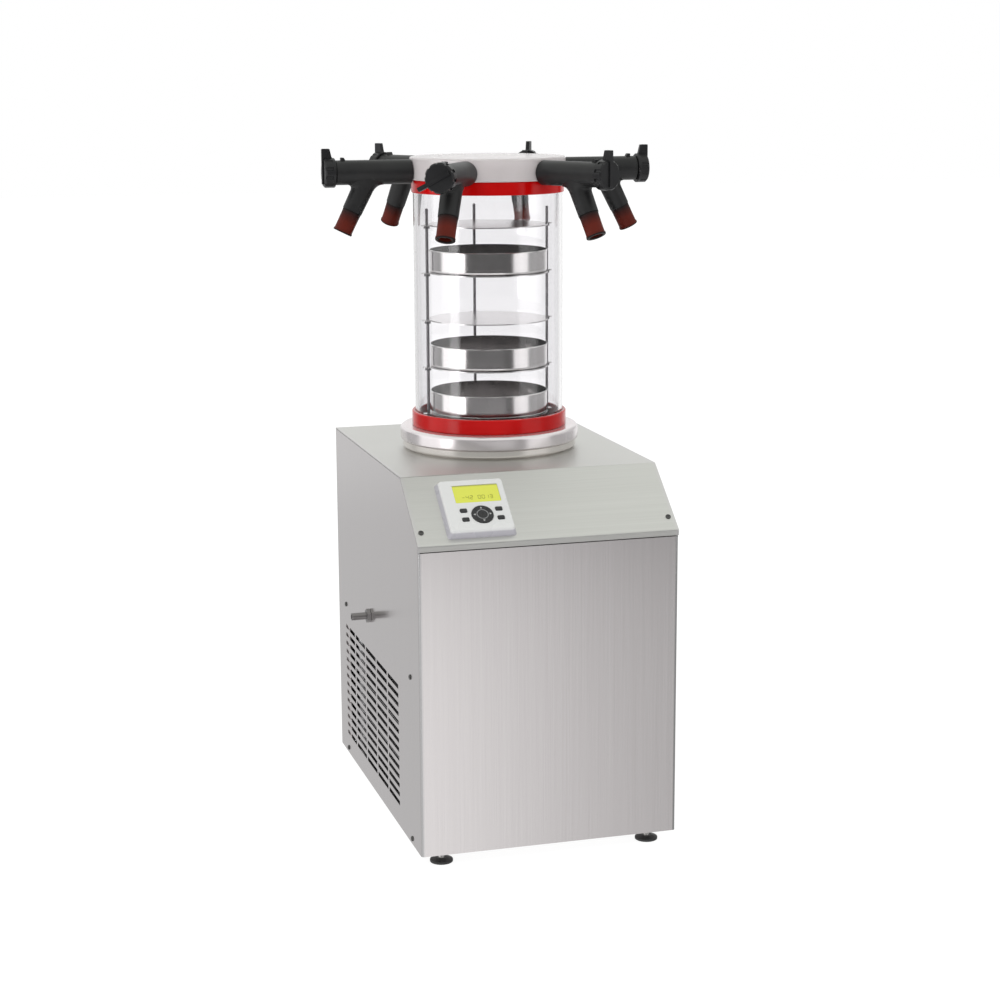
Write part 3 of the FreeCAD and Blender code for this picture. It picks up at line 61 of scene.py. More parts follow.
Shape = tuple[np.ndarray, np.ndarray]  # points and faces
TEXTURE = ("Roughness", "Height", "Tone")


# ---- shader helpers
class Graph:
    """A short way to add and join nodes in one shader tree."""

    def __init__(self, tree: NodeTree) -> None:
        """Take the tree that the nodes go into."""
        self.tree = tree

    def add(self, kind: str, inputs: dict[str | int, object] | None = None, **settings: object) -> Node:
        """Add a node.

        Args:
            kind: Blender's type name without its ShaderNode prefix.
            inputs: socket values or sockets to join, by input name or number.
            settings: the node's own properties.

        Returns:
            The new node.
        """
        node = self.tree.nodes.new("ShaderNode" + kind)
        for key, value in settings.items():
            setattr(node, key, value)
        for key, value in (inputs or {}).items():
            if isinstance(value, NodeSocket):
                self.tree.links.new(value, node.inputs[key])
            else:
                node.inputs[key].default_value = value
        return node

    def math(self, operation: str, first: object, second: object = 0.0) -> NodeSocket:
        """Return the result of one arithmetic step on values or sockets."""
        return self.add("Math", {0: first, 1: second}, operation=operation).outputs[0]

    def noise(self, vector: NodeSocket, scale: object, detail: float = 3.0) -> NodeSocket:
        """Return a noise value between 0 and 1 at a scale in cycles per metre."""
        return self.add("TexNoise", {"Vector": vector, "Scale": scale, "Detail": detail}).outputs[0]

    def span(self, value: object, low: object, high: object) -> NodeSocket:
        """Return a value's place between low and high, as a share held from 0 to 1."""
        return self.add("MapRange", {0: value, 1: low, 2: high}, clamp=True).outputs[0]

    def mix(self, factor: object, first: object, second: object) -> NodeSocket:
        """Return a colour between two colours."""
        four = [value if isinstance(value, NodeSocket) else (*value, 1.0) for value in (first, second)]
        node = self.add("Mix", {0: factor, 6: four[0], 7: four[1]}, data_type="RGBA")
        return node.outputs[2]


def start_graph(made: Material | World) -> Graph:
    """Empty the node tree of a material or a world, and return it to build in."""
    made.use_nodes = True
    made.node_tree.nodes.clear()
    return Graph(made.node_tree)


class Group(Graph):
    """A shader node group while it is built, with its two ends and the object's coordinates at hand."""

    def __init__(self, name: str, inputs: dict[str, object], outputs: Sequence[str]) -> None:
        """Start the group.

        Args:
            name: the group's name.
            inputs: input names with their usual values; a tuple makes a vector input.
            outputs: names of the value outputs.
        """
        super().__init__(bpy.data.node_groups.new(name, "ShaderNodeTree"))
        for key, value in inputs.items():
            kind = "NodeSocketVector" if isinstance(value, tuple) else "NodeSocketFloat"
            self.tree.interface.new_socket(key, in_out="INPUT", socket_type=kind).default_value = value
        for key in outputs:
            self.tree.interface.new_socket(key, in_out="OUTPUT", socket_type="NodeSocketFloat")
        self.given = self.tree.nodes.new("NodeGroupInput").outputs
        self.wanted = self.tree.nodes.new("NodeGroupOutput").inputs
        self.coordinates = self.add("TexCoord").outputs["Object"]

    def put(self, **results: NodeSocket) -> None:
        """Join results to the group's outputs, by output name."""
        for key, socket in results.items():
            self.tree.links.new(socket, self.wanted[key])

    def put_texture(self, height: NodeSocket, sheen: NodeSocket) -> None:
        """Put out Height, a Roughness that swings about its mean with the sheen, and the sheen itself as Tone."""
        swing = self.math("MULTIPLY", self.math("SUBTRACT", sheen, 0.5), self.given["Spread"])
        rough = self.math("ADD", self.given["Roughness"], swing)
        self.put(Height=height, Roughness=rough, Tone=self.span(sheen, 0.3, 0.7))


@functools.cache
def grain_group(fine_share: float = 0.65, broad_scale: float = 0.12) -> NodeTree:
    """Build the fine parallel scratches of brushed sheet: noise drawn out along one direction, at two sizes.

    Args:
        fine_share: share of the finer noise in the sum.
        broad_scale: scale of the broader noise next to the finer one.

    Returns:
        A group that puts out Roughness, Height and Tone.
    """
    group = Group("brushed_grain", {"Lines": (20.0, 20.0, 900.0), "Roughness": 0.3, "Spread": 0.1}, TEXTURE)
    drawn = group.add("VectorMath", {0: group.coordinates, 1: group.given["Lines"]}, operation="MULTIPLY").outputs[0]
    fine = group.math("MULTIPLY", group.noise(drawn, 1.0, 4.0), fine_share)
    broad = group.math("MULTIPLY", group.noise(drawn, broad_scale, 2.0), 1 - fine_share)
    both = group.math("ADD", fine, broad)
    group.put_texture(both, both)
    return group.tree


@functools.cache
def mould_group(sheen_scale: float = 28.0) -> NodeTree:
    """Build the fine dull texture that a mould leaves, with slow changes of sheen over it.

    Args:
        sheen_scale: cycles per metre of the changes of sheen.

    Returns:
        A group that puts out Roughness, Height and Tone.
    """
    group = Group("mould_texture", {"Scale": 2500.0, "Roughness": 0.45, "Spread": 0.12}, TEXTURE)
    fine = group.noise(group.coordinates, group.given["Scale"], 2.0)
    group.put_texture(fine, group.noise(group.coordinates, sheen_scale))
    return group.tree


@functools.cache
def lathe_group() -> NodeTree:
    """Build the rings that a lathe leaves round an upright axis: noise of the distance to it and of the height.

    Returns:
        A group that puts out Roughness, Height, Tone and Radius, the distance to the axis.
    """
    inputs = {"Axis": (0.0, 0.0, 0.0), "Scale": 1500.0, "Roughness": 0.15, "Spread": 0.1}
    group = Group("lathe_rings", inputs, (*TEXTURE, "Radius"))
    moved = group.add("VectorMath", {0: group.coordinates, 1: group.given["Axis"]}, operation="SUBTRACT")
    parts = group.add("SeparateXYZ", {0: moved.outputs[0]}).outputs
    level = group.add("CombineXYZ", {0: parts[0], 1: parts[1]})
    radius = group.add("VectorMath", {0: level.outputs[0]}, operation="LENGTH").outputs["Value"]
    place_on_lathe = group.add("CombineXYZ", {0: radius, 2: parts[2]})
    rings = group.noise(place_on_lathe.outputs[0], group.given["Scale"])
    group.put_texture(rings, rings)
    group.put(Radius=radius)
    return group.tree


@functools.cache
def painted_fold_group() -> NodeTree:
    """Mark where painted light goes on the folds along both sides of a sheet: a soft band inside the half width, as
    far back as its front part.

    Returns:
        A group that puts out Fold, 0 on the flat and 1 on the fold.
    """
    group = Group("painted_fold_light", {"Half Width": 0.17, "Fold Width": 0.003, "Back": 10.0}, ("Fold",))
    parts = group.add("SeparateXYZ", {0: group.coordinates}).outputs
    inside = group.math("SUBTRACT", group.given["Half Width"], group.math("ABSOLUTE", parts[0]))
    share = group.math("DIVIDE", inside, group.given["Fold Width"])
    ahead = group.math("SUBTRACT", group.given["Back"], parts[1])
    near = group.span(group.math("DIVIDE", ahead, group.given["Fold Width"]), 0.0, 0.5)
    group.put(Fold=group.math("MULTIPLY", group.span(share, 1.0, 0.5), near))
    return group.tree


# ---- finishes
@dataclass(frozen=True)
class Finish:
    """A material with its own colour, second tone and gloss."""

    name: str
    color: Color
    tone: Color
    roughness: float = 0.4
    spread: float = 0.1
    bump: float = 0.02

    def texture(self, graph: Graph) -> Node:
        """Add the node group that varies this finish, and return its node."""
        return graph.add("Group", {"Roughness": self.roughness, "Spread": self.spread}, node_tree=mould_group())

    def shade(self, shader: Node) -> None:
        """Set the sockets that are the same all over this finish."""

    def surface_color(self, graph: Graph, texture: Node) -> NodeSocket:
        """Return the colour that varies over the surface."""
        return graph.mix(texture.outputs["Tone"], self.color, self.tone)

    @functools.cache
    def material(self) -> Material:
        """Build the material, or return the one already built for an equal finish."""
        made = bpy.data.materials.new(self.name)
        graph = start_graph(made)
        texture = self.texture(graph)
        bump = graph.add("Bump", {"Strength": self.bump, "Distance": MM, "Height": texture.outputs["Height"]})
        shader = graph.add("BsdfPrincipled", {
            "Base Color": self.surface_color(graph, texture), "Roughness": texture.outputs["Roughness"],
            "Normal": bump.outputs[0]})
        graph.add("OutputMaterial", {"Surface": shader.outputs[0]})
        self.shade(shader)
        return made

    def dress(self, *objects: Object) -> None:
        """Give the material to objects, in place of what they wear."""
        for thing in objects:
            thing.data.materials.clear()
            thing.data.materials.append(self.material())


class Grain(Enum):
    """Which way the brushing runs; the vector holds the lines per metre along X, Y and Z."""

    LEVEL = (6.0, 6.0, 1400.0)
    UPRIGHT = (1400.0, 1400.0, 6.0)


@dataclass(frozen=True)
class Metal(Finish):
    """Bare metal."""

    def shade(self, shader: Node) -> None:
        """Make the surface metal."""
        shader.inputs["Metallic"].default_value = 1.0


@dataclass(frozen=True)
class BrushedSteel(Metal):
    """Sheet metal with parallel brushing; its folds, a half width from the middle, may carry painted light: a colour
    that stands in for the light on the bend.
    """

    grain: Grain = Grain.LEVEL
    half_width: float = 0.0
    fold_back: float = 10.0
    fold_width: float = 5.0 * MM
    # painted shade: this default fold colour is darker than the sheet, shade painted on the bend
    painted_fold_color: Color = (0.44, 0.435, 0.437)

    def texture(self, graph: Graph) -> Node:
        """Add the brushed grain, and return its node."""
        inputs = {"Lines": self.grain.value, "Roughness": self.roughness, "Spread": self.spread}
        return graph.add("Group", inputs, node_tree=grain_group())

    def surface_color(self, graph: Graph, texture: Node) -> NodeSocket:
        """Return the sheet's colour, with the painted light of its folds where it has some."""
        sheet = super().surface_color(graph, texture)
        if not self.half_width:
            return sheet
        inputs = {"Half Width": self.half_width, "Fold Width": self.fold_width, "Back": self.fold_back}
        # painted light on the folds, mixed in over the fold band
        fold = graph.add("Group", inputs, node_tree=painted_fold_group())
        return graph.mix(fold.outputs["Fold"], sheet, self.painted_fold_color)


@dataclass(frozen=True)
class TurnedSteel(Metal):
    """Bright metal spun or turned about an upright axis; a pan's inside, within a radius, may be darkened with
    painted shade.
    """

    axis_y: float = 0.0
    inner_radius: float = 0.0
    # painted shade for a pan's inside
    painted_inner_shade: Color = (0.4, 0.4, 0.4)
    inner_fade: float = 0.1 * MM

    def texture(self, graph: Graph) -> Node:
        """Add the lathe rings, and return their node."""
        inputs = {"Axis": (0.0, self.axis_y, 0.0), "Roughness": self.roughness, "Spread": self.spread}
        return graph.add("Group", inputs, node_tree=lathe_group())

    def surface_color(self, graph: Graph, texture: Node) -> NodeSocket:
        """Return the metal's colour, with the painted shade inside where there is one."""
        metal = super().surface_color(graph, texture)
        if not self.inner_radius:
            return metal
        outside = graph.span(texture.outputs["Radius"], self.inner_radius, self.inner_radius + self.inner_fade)
        return graph.mix(outside, self.painted_inner_shade, metal)


@dataclass(frozen=True)
class Moulded(Finish):
    """Moulded plastic or rubber."""

    coat: float = 0.0
    shine: float = 0.5
    glow: float = 0.0
    metallic: float = 0.0
    coat_roughness: float = 0.15

    def shade(self, shader: Node) -> None:
        """Set the coat, the strength of the gloss, the plastic's own light and its pearl or metal sheen."""
        shader.inputs["Metallic"].default_value = self.metallic
        shader.inputs["Coat Weight"].default_value = self.coat
        shader.inputs["Coat Roughness"].default_value = self.coat_roughness
        shader.inputs["Specular IOR Level"].default_value = self.shine
        if self.glow:
            shader.inputs["Emission Color"].default_value = (*self.color, 1.0)
            shader.inputs["Emission Strength"].default_value = self.glow


@dataclass(frozen=True)
class ClearPlastic(Finish):
    """Clear or milky plastic that light goes through."""

    through: float = 1.0
    index: float = 1.49
    scatter: float = 0.0
    scatter_depth: float = 10 * MM

    def shade(self, shader: Node) -> None:
        """Let light through, with the plastic's own index, and into it where it is milky."""
        shader.inputs["Transmission Weight"].default_value = self.through
        shader.inputs["IOR"].default_value = self.index
        shader.inputs["Subsurface Weight"].default_value = self.scatter
        shader.inputs["Subsurface Radius"].default_value = (self.scatter_depth,) * 3


@dataclass(frozen=True)
class BandedRubber(Moulded):
    """Sleeve rubber whose rim is another colour; the mesh's along attribute is 0 at the root and 1 at the mouth."""

    rim: Color = (0.012, 0.008, 0.008)
    rim_start: float = 0.945
    rim_fade: float = 0.05
    root_end: float = 0.04
    root_fade: float = 0.55
    wander: float = 0.05

    def surface_color(self, graph: Graph, texture: Node) -> NodeSocket:
        """Return the sleeve's colour, with its rim and the dark band next to the valve."""
        along = graph.add("Attribute", attribute_name="along").outputs["Fac"]
        # the along share with a little noise; the colour is darker towards the root and at the rim
        jittered_along = graph.math("ADD", along, graph.math("MULTIPLY", texture.outputs["Tone"], self.wander))
        body = super().surface_color(graph, texture)
        body = graph.mix(graph.span(jittered_along, self.root_end, self.root_fade), self.rim, body)
        return graph.mix(graph.span(jittered_along, self.rim_start, self.rim_start + self.rim_fade), body, self.rim)


@dataclass(frozen=True)
class PaintedShadePlastic(Moulded):
    """Moulded plastic with painted light: its colour changes along one direction, between two distances from the
    model's origin.
    """

    # painted light: the colour at the far end of the grade
    painted_light_color: Color = (0.1, 0.1, 0.1)
    direction: tuple[float, float, float] = (0.0, 0.0, 1.0)
    start: float = 0.0
    end: float = 1.0

    def surface_color(self, graph: Graph, texture: Node) -> NodeSocket:
        """Return the plastic's colour, which turns to the painted light colour from start to end."""
        given = graph.add("TexCoord").outputs["Object"]
        along = graph.add("VectorMath", {0: given, 1: self.direction}, operation="DOT_PRODUCT").outputs["Value"]
        plain = super().surface_color(graph, texture)
        return graph.mix(graph.span(along, self.start, self.end), plain, self.painted_light_color)


# ---- mesh helpers
def rounded_outline(corners: Sequence[tuple[float, float, float]], steps: int,
                    margin: float = 0.4 * MM) -> np.ndarray:
    """Round the corners of a closed outline.

    Corner k at p with radius r becomes the arc about p + b r / sin(h), where b is the inward bisector and h half
    the corner's angle; points along it are the spherical mean of its two end vectors. One more point lies a margin
    outside each end, so that smooth shading stays flat on the runs between corners.

    Args:
        corners: (a, b, radius) of each corner, in order.
        steps: points along each arc.
        margin: distance from an arc's end to its outer point.

    Returns:
        Points of the outline, one row each.
    """
    data = np.array(corners, dtype=float)
    points, radius = data[:, :2], data[:, 2:]
    back = np.roll(points, 1, axis=0) - points
    ahead = np.roll(points, -1, axis=0) - points
    runs = np.linalg.norm(back, axis=1, keepdims=True), np.linalg.norm(ahead, axis=1, keepdims=True)
    back, ahead = back / runs[0], ahead / runs[1]
    half = np.arccos(np.clip((back * ahead).sum(1, keepdims=True), -1, 1)) / 2
    bisector = (back + ahead) / np.maximum(np.linalg.norm(back + ahead, axis=1, keepdims=True), 1e-12)
    reach = radius / np.tan(half)
    centre = points + bisector * radius / np.sin(half)
    first, last = points + back * reach - centre, points + ahead * reach - centre
    turn = np.maximum(math.pi - 2 * half, 1e-6)[:, None, :]
    t = np.linspace(0, 1, steps)[None, :, None]
    arcs = (np.sin((1 - t) * turn) * first[:, None] + np.sin(t * turn) * last[:, None]) / np.sin(turn)
    before = points + back * np.minimum(reach + margin, runs[0] / 2)
    after = points + ahead * np.minimum(reach + margin, runs[1] / 2)
    rows = np.concatenate([before[:, None], arcs + centre[:, None], after[:, None]], axis=1)
    sharp = radius[:, 0] <= 0
    rows[sharp] = points[sharp][:, None]
    flat = rows.reshape(-1, 2)
    keep = np.linalg.norm(flat - np.roll(flat, 1, axis=0), axis=1) > 1e-7
    return flat[keep]


def grid_faces(rows: int, columns: int, wrap_rows: bool, wrap_columns: bool) -> np.ndarray:
    """Return the corner numbers of the quads between neighbours on a grid of points."""
    r = np.arange(rows if wrap_rows else rows - 1)
    c = np.arange(columns if wrap_columns else columns - 1)
    r, c = np.meshgrid(r, c, indexing="ij")
    r2, c2 = (r + 1) % rows, (c + 1) % columns
    return np.stack([r * columns + c, r * columns + c2, r2 * columns + c2, r2 * columns + c], axis=-1).reshape(-1, 4)


def close_and_turn_out(mesh: Mesh) -> None:
    """Merge the doubled points of seams and poles, and turn a closed mesh's faces outwards."""
    work = bmesh.new()
    work.from_mesh(mesh)
    bmesh.ops.remove_doubles(work, verts=work.verts, dist=2e-7)
    bmesh.ops.dissolve_degenerate(work, edges=work.edges, dist=1e-8)
    bmesh.ops.recalc_face_normals(work, faces=work.faces)
    if work.calc_volume(signed=True) < 0:
        bmesh.ops.reverse_faces(work, faces=work.faces)
    work.to_mesh(mesh)
    work.free()


def new_object(name: str, data: ID) -> Object:
    """Make an object of some data, linked to the scene."""
    thing = bpy.data.objects.new(name, data)
    bpy.context.scene.collection.objects.link(thing)
    return thing


def skin(name: str, points: np.ndarray, faces: np.ndarray, attributes: dict[str, np.ndarray] | None = None,
         smooth: bool = True) -> Object:
    """Make a mesh object from worked-out points and faces.

    Args:
        name: the piece's name.
        points: (n, 3) places in metres.
        faces: (m, k) corner numbers.
        attributes: values per point, by attribute name.
        smooth: True for smooth shading.

    Returns:
        The new object.
    """
    mesh = bpy.data.meshes.new(name)
    mesh.from_pydata(points.reshape(-1, 3).tolist(), [], faces.tolist())
    for key, values in (attributes or {}).items():
        mesh.attributes.new(key, "FLOAT", "POINT").data.foreach_set("value", values.ravel().astype(np.float32))
    close_and_turn_out(mesh)
    mesh.polygons.foreach_set("use_smooth", np.full(len(mesh.polygons), smooth))
    return new_object(name, mesh)


def revolve(profile: np.ndarray, steps: int = 160) -> Shape:
    """Carry a closed (r, z) profile round Z: x = r cos a, y = r sin a; the points are (profile, steps, 3)."""
    angle = np.linspace(0, 2 * math.pi, steps, endpoint=False)
    r, z = profile[:, :1], profile[:, 1:]
    points = np.stack([r * np.cos(angle), r * np.sin(angle), np.broadcast_to(z, (len(profile), steps))], axis=-1)
    return points, grid_faces(len(profile), steps, True, True)


def slab(outline: np.ndarray, low: float, high: float) -> Shape:
    """Thicken a closed outline into a flat piece between two heights, each end drawn in to the outline's middle."""
    middle = outline.mean(axis=0)
    rings = [np.concatenate([middle + (outline - middle) * size, np.full((len(outline), 1), height)], axis=1)
             for size, height in ((1e-4, low), (1, low), (1, high), (1e-4, high))]
    return np.stack(rings), grid_faces(4, len(outline), False, True)


def place(points: np.ndarray, matrix: Matrix) -> np.ndarray:
    """Return points carried by a 4 by 4 matrix."""
    m = np.array(matrix)
    return points @ m[:3, :3].T + m[:3, 3]


def join(name: str, shapes: Sequence[Shape], smooth: bool = True,
         attributes: dict[str, np.ndarray] | None = None) -> Object:
    """Make one object of several (points, faces) shapes whose faces all have as many corners."""
    starts = np.cumsum([0] + [points.size // 3 for points, _ in shapes[:-1]])
    points = np.concatenate([points.reshape(-1, 3) for points, _ in shapes])
    faces = np.concatenate([faces + start for (_, faces), start in zip(shapes, starts)])
    return skin(name, points, faces, attributes, smooth)


# ---- sub-assemblies
@dataclass(frozen=True)
class Console:
    """The sloped face of the hood, as a frame of its own: x across, y up the slope, z outwards."""

    depth: float = 90 * MM
    drop: float = 71 * MM

    def matrix(self) -> Matrix:
        """Return the frame, from the slope's lower edge at the middle of the hood."""
        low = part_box("hood")[0].y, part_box("hood")[1].z - self.drop
        return Matrix.Translation((0, *low)) @ Matrix.Rotation(math.atan2(self.drop, self.depth), 4, "X")

    def extent(self, node: str) -> tuple[Vector, Vector]:
        """Return the low and high corners of a CAD node in the slope's frame."""
        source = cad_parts[node]
        points = np.empty(3 * len(source.data.vertices))
        source.data.vertices.foreach_get("co", points)
        inside = place(points.reshape(-1, 3), self.matrix().inverted() @ source.matrix_world)
        return Vector(inside.min(axis=0)), Vector(inside.max(axis=0))

    def axis(self, number: int) -> Vector:
        """Return the unit vector along one of the frame's axes, by number."""
        return self.matrix().to_3x3().col[number].normalized()


def wear(finish: Finish, *nodes: str) -> None:
    """Give a finish to CAD nodes, by name."""
    for node in nodes:
        finish.dress(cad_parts[node])
        log.info("%s wears %s", node, finish.name)


def keep_piece(piece: Object, finish: Finish, body: str, slot: str, *nodes: str) -> None:
    """Finish a new piece: its material and body, and the CAD nodes that it stands for."""
    finish.dress(piece)
    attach(piece, body)
    if nodes:
        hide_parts(*nodes)
    log.info("%s rides on %s", piece.name, body)


@dataclass
class Cabinet:
    """Folded sheet cabinet: hood with its sloped console, side and front wrap, rear panel, tray and screws."""

    console: Console = Console()
    screw_front: float = 50 * MM
    screw_rear: float = 49 * MM
    screw_heights: tuple[float, float] = (7.5 * MM, 225.5 * MM)
    slope_screw_inset: float = 8.5 * MM
    slope_screw_up: float = 21.5 * MM
    screw_radius: float = 3.5 * MM
    screw_head: float = 2.0 * MM
    cross_arm: float = 2.3 * MM
    cross_width: float = 0.55 * MM
    cross_depth: float = 1.0 * MM
    shank_radius: float = 1.9 * MM
    shank_length: float = 7 * MM
    # painted highlight along the hood's side folds, in its lighter fold colour
    hood_steel: Finish = BrushedSteel(
        "hood_steel", (0.58, 0.577, 0.557), (0.64, 0.637, 0.617), roughness=0.40, bump=0.05,
        half_width=172.5 * MM, painted_fold_color=(0.62, 0.61, 0.605))
    # painted shade on the wrap's front folds, in the darker default fold colour
    wrap_steel: Finish = BrushedSteel(
        "wrap_steel", (0.607, 0.578, 0.578), (0.657, 0.629, 0.629), roughness=0.17, spread=0.05, bump=0.03,
        grain=Grain.UPRIGHT, half_width=172.5 * MM, fold_back=-252 * MM)
    screw_steel: Finish = Moulded(
        "blackened_screws", (0.03, 0.029, 0.028), (0.07, 0.068, 0.066), roughness=0.3, spread=0.2, coat=0.2)

    def screw(self, steps: int = 40) -> Shape:
        """Work out one pan-head screw whose head rises along +Z from the origin.

        Profile (r, z) carried round the axis. The head is z = edge + rise sqrt(1 - (r / R)^2), and the cross is
        sunk where |x| or |y| is under half an arm's width and r is inside the arm, by a smooth step of both.
        """
        edge, axis = 0.4 * self.screw_head, 0.02 * MM
        share = np.linspace(0.02, 1, 16)
        shank = [self.screw_radius, self.shank_radius, self.shank_radius, axis]
        r = np.concatenate([share * self.screw_radius, shank])
        dome = edge + (self.screw_head - edge) * np.sqrt(1 - share ** 2)
        z = np.concatenate([dome, [0, 0, -self.shank_length, -self.shank_length]])
        points, faces = revolve(np.stack([r, z], axis=1), steps)
        x, y, radius = points[..., 0], points[..., 1], np.hypot(points[..., 0], points[..., 1])
        near = np.minimum(np.abs(x), np.abs(y))
        inside = np.clip((self.cross_width - near) / (0.4 * self.cross_width), 0, 1)
        inside *= np.clip((self.cross_arm - radius) / (0.3 * MM), 0, 1)
        points[..., 2] -= np.where(points[..., 2] > edge * 0.99, inside * self.cross_depth, 0)
        return points, faces

    def build_screws(self) -> None:
        """Put a screw at every screw place of the sides and the slope."""
        wrap_low, wrap_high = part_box("cabinet_wrap")
        shape, faces = self.screw()
        places = []
        for side in (-1, 1):
            outwards = Matrix.Rotation(side * math.pi / 2, 4, "Y")
            for y in (wrap_low.y + self.screw_front, wrap_high.y - self.screw_rear):
                for height in self.screw_heights:
                    spot = Matrix.Translation((side * wrap_high.x, y, wrap_low.z + height))
                    places.append(spot @ outwards)
            spot = Matrix.Translation((side * (wrap_high.x - self.slope_screw_inset), self.slope_screw_up, 0))
            places.append(self.console.matrix() @ spot)
        shapes = [(place(shape, matrix @ Matrix.Rotation(0.5 + k, 4, "Z")), faces) for k, matrix in enumerate(places)]
        keep_piece(join("cross_head_screws", shapes), self.screw_steel, "machine", "screw_steel", "cabinet_screws")

    def build(self) -> None:
        """Dress the sheets and build the screws."""
        wear(self.hood_steel, "hood")
        wear(self.wrap_steel, "cabinet_wrap", "rear_panel", "base_tray")
        self.build_screws()


@dataclass
class Feet:
    """Four levelling feet: a ribbed rubber pad on a threaded steel stem."""

    pad_radius: float = 15 * MM
    pad_height: float = 6 * MM
    stem_radius: float = 4 * MM
    stem_top: float = 29 * MM
    pitch: float = 1.25 * MM
    thread: float = 0.35 * MM
    ribs: int = 36
    rib_depth: float = 0.03
    rubber: Finish = Moulded(
        "foot_rubber", (0.018, 0.018, 0.019), (0.03, 0.03, 0.031), roughness=0.42, spread=0.15, bump=0.03)
    steel: Finish = TurnedSteel("foot_stem_steel", (0.72, 0.71, 0.69), (0.8, 0.79, 0.77), roughness=0.2)

    def pad(self, steps: int = 288) -> Shape:
        """Work out the pad: a rounded profile carried round, its outer eighth waved by |cos|^6 of the rib count."""
        neck, axis, side = self.stem_radius + 3 * MM, 0.05 * MM, 3.4 * MM
        corners = [(axis, 0, 0), (self.pad_radius, 0, 0.8 * MM), (self.pad_radius, side, 1.0 * MM),
                   (neck, self.pad_height, 0.6 * MM), (axis, self.pad_height, 0)]
        points, faces = revolve(rounded_outline(corners, 5), steps)
        angle = np.linspace(0, 2 * math.pi, steps, endpoint=False)
        rim = np.clip(np.hypot(points[..., 0], points[..., 1]) / self.pad_radius * 8 - 7, 0, 1)
        wave = 1 - self.rib_depth * rim * np.abs(np.cos(self.ribs / 2 * angle)) ** 6
        points[..., :2] *= wave[..., None]
        return points, faces

    def stem(self, steps: int = 36) -> Shape:
        """Work out the stem: radius = stem radius - thread depth * triangle wave of (z / pitch + angle / turn)."""
        thread = np.linspace(self.pad_height, self.stem_top - 0.5 * MM, 110)
        z = np.concatenate([[self.pad_height - 1 * MM], thread, [self.stem_top]])
        angle = np.linspace(0, 2 * math.pi, steps, endpoint=False)
        wave = np.abs((z[:, None] / self.pitch + angle[None, :] / (2 * math.pi)) % 1 - 0.5) * 2
        radius = self.stem_radius - self.thread * wave
        radius[-1] *= 0.8
        ends = np.full((1, steps), 0.02 * MM)
        radius, z = np.concatenate([ends, radius, ends]), np.concatenate([z[:1], z, z[-1:]])
        height = np.broadcast_to(z[:, None], radius.shape)
        points = np.stack([radius * np.cos(angle), radius * np.sin(angle), height], axis=-1)
        return points, grid_faces(len(z), steps, True, True)

    def build(self) -> None:
        """Build both pieces of every foot in its CAD foot's place."""
        pad, stem = self.pad(), self.stem()
        for k in range(1, 5):
            foot = f"foot_{k}"
            low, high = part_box(foot)
            spot = Matrix.Translation(((low.x + high.x) / 2, (low.y + high.y) / 2, 0))
            keep_piece(skin(f"foot_pad_{k}", place(pad[0], spot), pad[1]), self.rubber, foot, "foot_rubber", foot)
            keep_piece(skin(f"foot_stem_{k}", place(stem[0], spot), stem[1]), self.steel, foot, "screw_steel")


@dataclass
class Chamber:
    """Ice condenser pot, its flange, the clear drying chamber between two red seals, and the lid."""

    collar_steel: Finish = TurnedSteel(
        "collar_steel", (0.80, 0.76, 0.74), (0.86, 0.82, 0.80), roughness=0.12, spread=0.08, bump=0.01, axis_y=AXIS_Y)
    pot_steel: Finish = TurnedSteel(
        "pot_steel", (0.70, 0.69, 0.67), (0.78, 0.77, 0.75), roughness=0.16, bump=0.01, axis_y=AXIS_Y)
    ring_pearl: Finish = Moulded(
        "pearl_ring", (0.74, 0.69, 0.70), (0.80, 0.76, 0.77), roughness=0.20, spread=0.04, bump=0.01, metallic=0.72)
    silicone: Finish = Moulded(
        "red_silicone", (0.46, 0.0005, 0.0005), (0.53, 0.001, 0.001), roughness=0.2, bump=0.01, coat=0.15, shine=0.2)
    acrylic: Finish = ClearPlastic(
        "clear_acrylic", (0.985, 0.978, 0.99), (0.99, 0.985, 0.995), roughness=0.02, spread=0.01, bump=0.0)
    milky: Finish = ClearPlastic(
        "milky_lid", (0.80, 0.75, 0.755), (0.86, 0.81, 0.82), roughness=0.22, bump=0.01,
        through=0.4, index=1.45, scatter=0.5)

    def build(self) -> None:
        """Dress the chamber's turned and moulded pieces."""
        wear(self.pot_steel, "condenser_pot")
        wear(self.collar_steel, "flange_collar")
        wear(self.ring_pearl, "base_ring")
        wear(self.silicone, "lower_seal", "upper_seal")
        wear(self.acrylic, "chamber_tube")
        wear(self.milky, "manifold_lid")


@dataclass
class ShelfRack:
    """Round shelves on three rods, with their clamping nuts and the product trays."""

    shelf_steel: Finish = TurnedSteel(
        "shelf_steel", (0.76, 0.74, 0.74), (0.84, 0.82, 0.82), roughness=0.25, bump=0.01, axis_y=AXIS_Y)
    rod_steel: Finish = TurnedSteel("rod_steel", (0.20, 0.19, 0.20), (0.28, 0.27, 0.28), roughness=0.3, bump=0.01)
    nut_steel: Finish = TurnedSteel("nut_steel", (0.16, 0.155, 0.16), (0.22, 0.215, 0.22), roughness=0.35, bump=0.01)
    # painted shade: each tray is darker inside its wall
    tray_steel: Finish = TurnedSteel(
        "tray_steel", (0.74, 0.72, 0.71), (0.83, 0.81, 0.80), roughness=0.14, axis_y=AXIS_Y,
        painted_inner_shade=(0.52, 0.505, 0.50))
    rim_overhang: float = 1.2 * MM

    def build(self) -> None:
        """Dress the rack and its trays, each darkened with painted shade inside the middle of its wall."""
        wear(self.shelf_steel, "rack_shelves")
        wear(self.rod_steel, "rack_rods")
        wear(self.nut_steel, "rack_nuts")
        low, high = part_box("tray_1")
        wall = (high.x - low.x) / 2 - self.rim_overhang
        wear(replace(self.tray_steel, inner_radius=wall), "tray_1", "tray_2", "tray_3")


